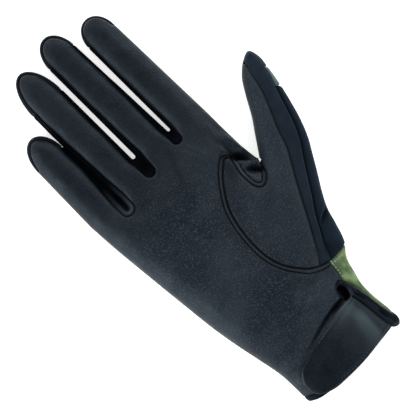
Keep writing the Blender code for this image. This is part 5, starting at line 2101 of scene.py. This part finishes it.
@dataclass
class Studio:
    """The pale floor, the soft lights and the camera straight above, turned by an eighth."""

    centre: tuple[float, float, float] = (-0.01238, -0.00499, 0.008)
    frame_width: float = 0.2205
    distance: float = 1.4
    roll: float = -45.0
    sensor: float = 36.0
    floor_size: float = 3.0
    floor_drop: float = 0.0002
    floor_glow: float = 0.60
    world_colour: Colour = (0.95, 0.98, 1.0)
    world_strength: float = 0.30
    softbox_size: float = 0.9
    # name, place, power in watts
    softboxes: tuple[tuple[str, tuple[float, float, float], float], ...] = (
        ("left_softbox", (-1.00, 0.20, 0.45), 11.5),
        ("right_softbox", (0.95, 0.35, 0.55), 8.2),
        ("finger_side_softbox", (0.10, 1.10, 0.70), 7.0),
        ("cuff_side_softbox", (-0.10, -1.10, 0.70), 9.0),
    )

    def build(self) -> None:
        """Sets up the floor, the lights, the world and the camera."""
        self.floor()
        for softbox in self.softboxes:
            self.light(*softbox)
        world = bpy.data.worlds.new("studio")
        world.use_nodes = True
        background = world.node_tree.nodes["Background"]
        background.inputs["Color"].default_value = (*self.world_colour, 1.0)
        background.inputs["Strength"].default_value = self.world_strength
        scene = bpy.context.scene
        scene.world = world
        scene.view_settings.view_transform = "Standard"
        self.camera()

    def floor(self) -> None:
        """Lays a pale floor under the glove, lit a little from within like a light table."""
        size, low = self.floor_size, -self.floor_drop
        corners = [(-size, -size, low), (size, -size, low), (size, size, low), (-size, size, low)]
        mesh = bpy.data.meshes.new("floor")
        mesh.from_pydata(corners, [], [(0, 1, 2, 3)])
        surface = Surface("pale_floor", 0.9, 0.1, 0.0, (1.0, 1.0, 1.0))
        tone = surface.blotches(3.0, 2.0, 0.3, 0.7)
        surface.set("Base Color", surface.blend(tone, (0.93, 0.93, 0.93), (0.95, 0.95, 0.95)))
        surface.set("Emission Color", (1.0, 1.0, 1.0))
        surface.set("Emission Strength", self.floor_glow)
        mesh.materials.append(surface.material)
        floor = bpy.data.objects.new("floor", mesh)
        bpy.context.scene.collection.objects.link(floor)

    def light(self, name: str, place: tuple[float, float, float], power: float) -> None:
        """Hangs a square soft light that faces the glove.

        Args:
            name: The light's name.
            place: Where it hangs.
            power: Its power in watts.
        """
        data = bpy.data.lights.new(name, "AREA")
        data.size, data.energy = self.softbox_size, power
        lamp = bpy.data.objects.new(name, data)
        back = np.array(place) - self.centre
        x_axis = np.cross((0.0, 1.0, 0.001), back)
        axes = np.stack([x_axis, np.cross(back, x_axis), back])
        axes /= np.linalg.norm(axes, axis=1)[:, None]
        turned = np.eye(4)
        turned[:3, :3], turned[:3, 3] = axes.T, place
        lamp.matrix_world = Matrix(turned.tolist())
        bpy.context.scene.collection.objects.link(lamp)

    def camera(self) -> None:
        """Puts the camera straight above the glove, with the fingers to the upper left."""
        data = bpy.data.cameras.new("camera")
        data.sensor_width = self.sensor
        data.lens = self.sensor * self.distance / self.frame_width
        data.clip_start, data.clip_end = 0.05, 20.0
        camera = bpy.data.objects.new("camera", data)
        camera.location = np.add(self.centre, (0.0, 0.0, self.distance))
        camera.rotation_euler = (0.0, 0.0, np.radians(self.roll))
        bpy.context.scene.collection.objects.link(camera)
        bpy.context.scene.camera = camera


def main() -> None:
    """Builds the studio and each sub-assembly over the frame."""
    logging.basicConfig(level=logging.INFO, format="%(name)s %(message)s")
    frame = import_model()
    LOG.info("frame with %d nodes", len(frame["nodes"]))
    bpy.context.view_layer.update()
    Studio().build()
    pattern = Pattern()
    maker = Maker(pattern, HandForm(pattern), Wardrobe())
    for assembly in (PalmAndThumb(maker), BackOfHand(maker), WristClosure(maker)):
        assembly.build()
        LOG.info("%s is dressed", type(assembly).__name__)


if __name__ == "__main__":
    main()
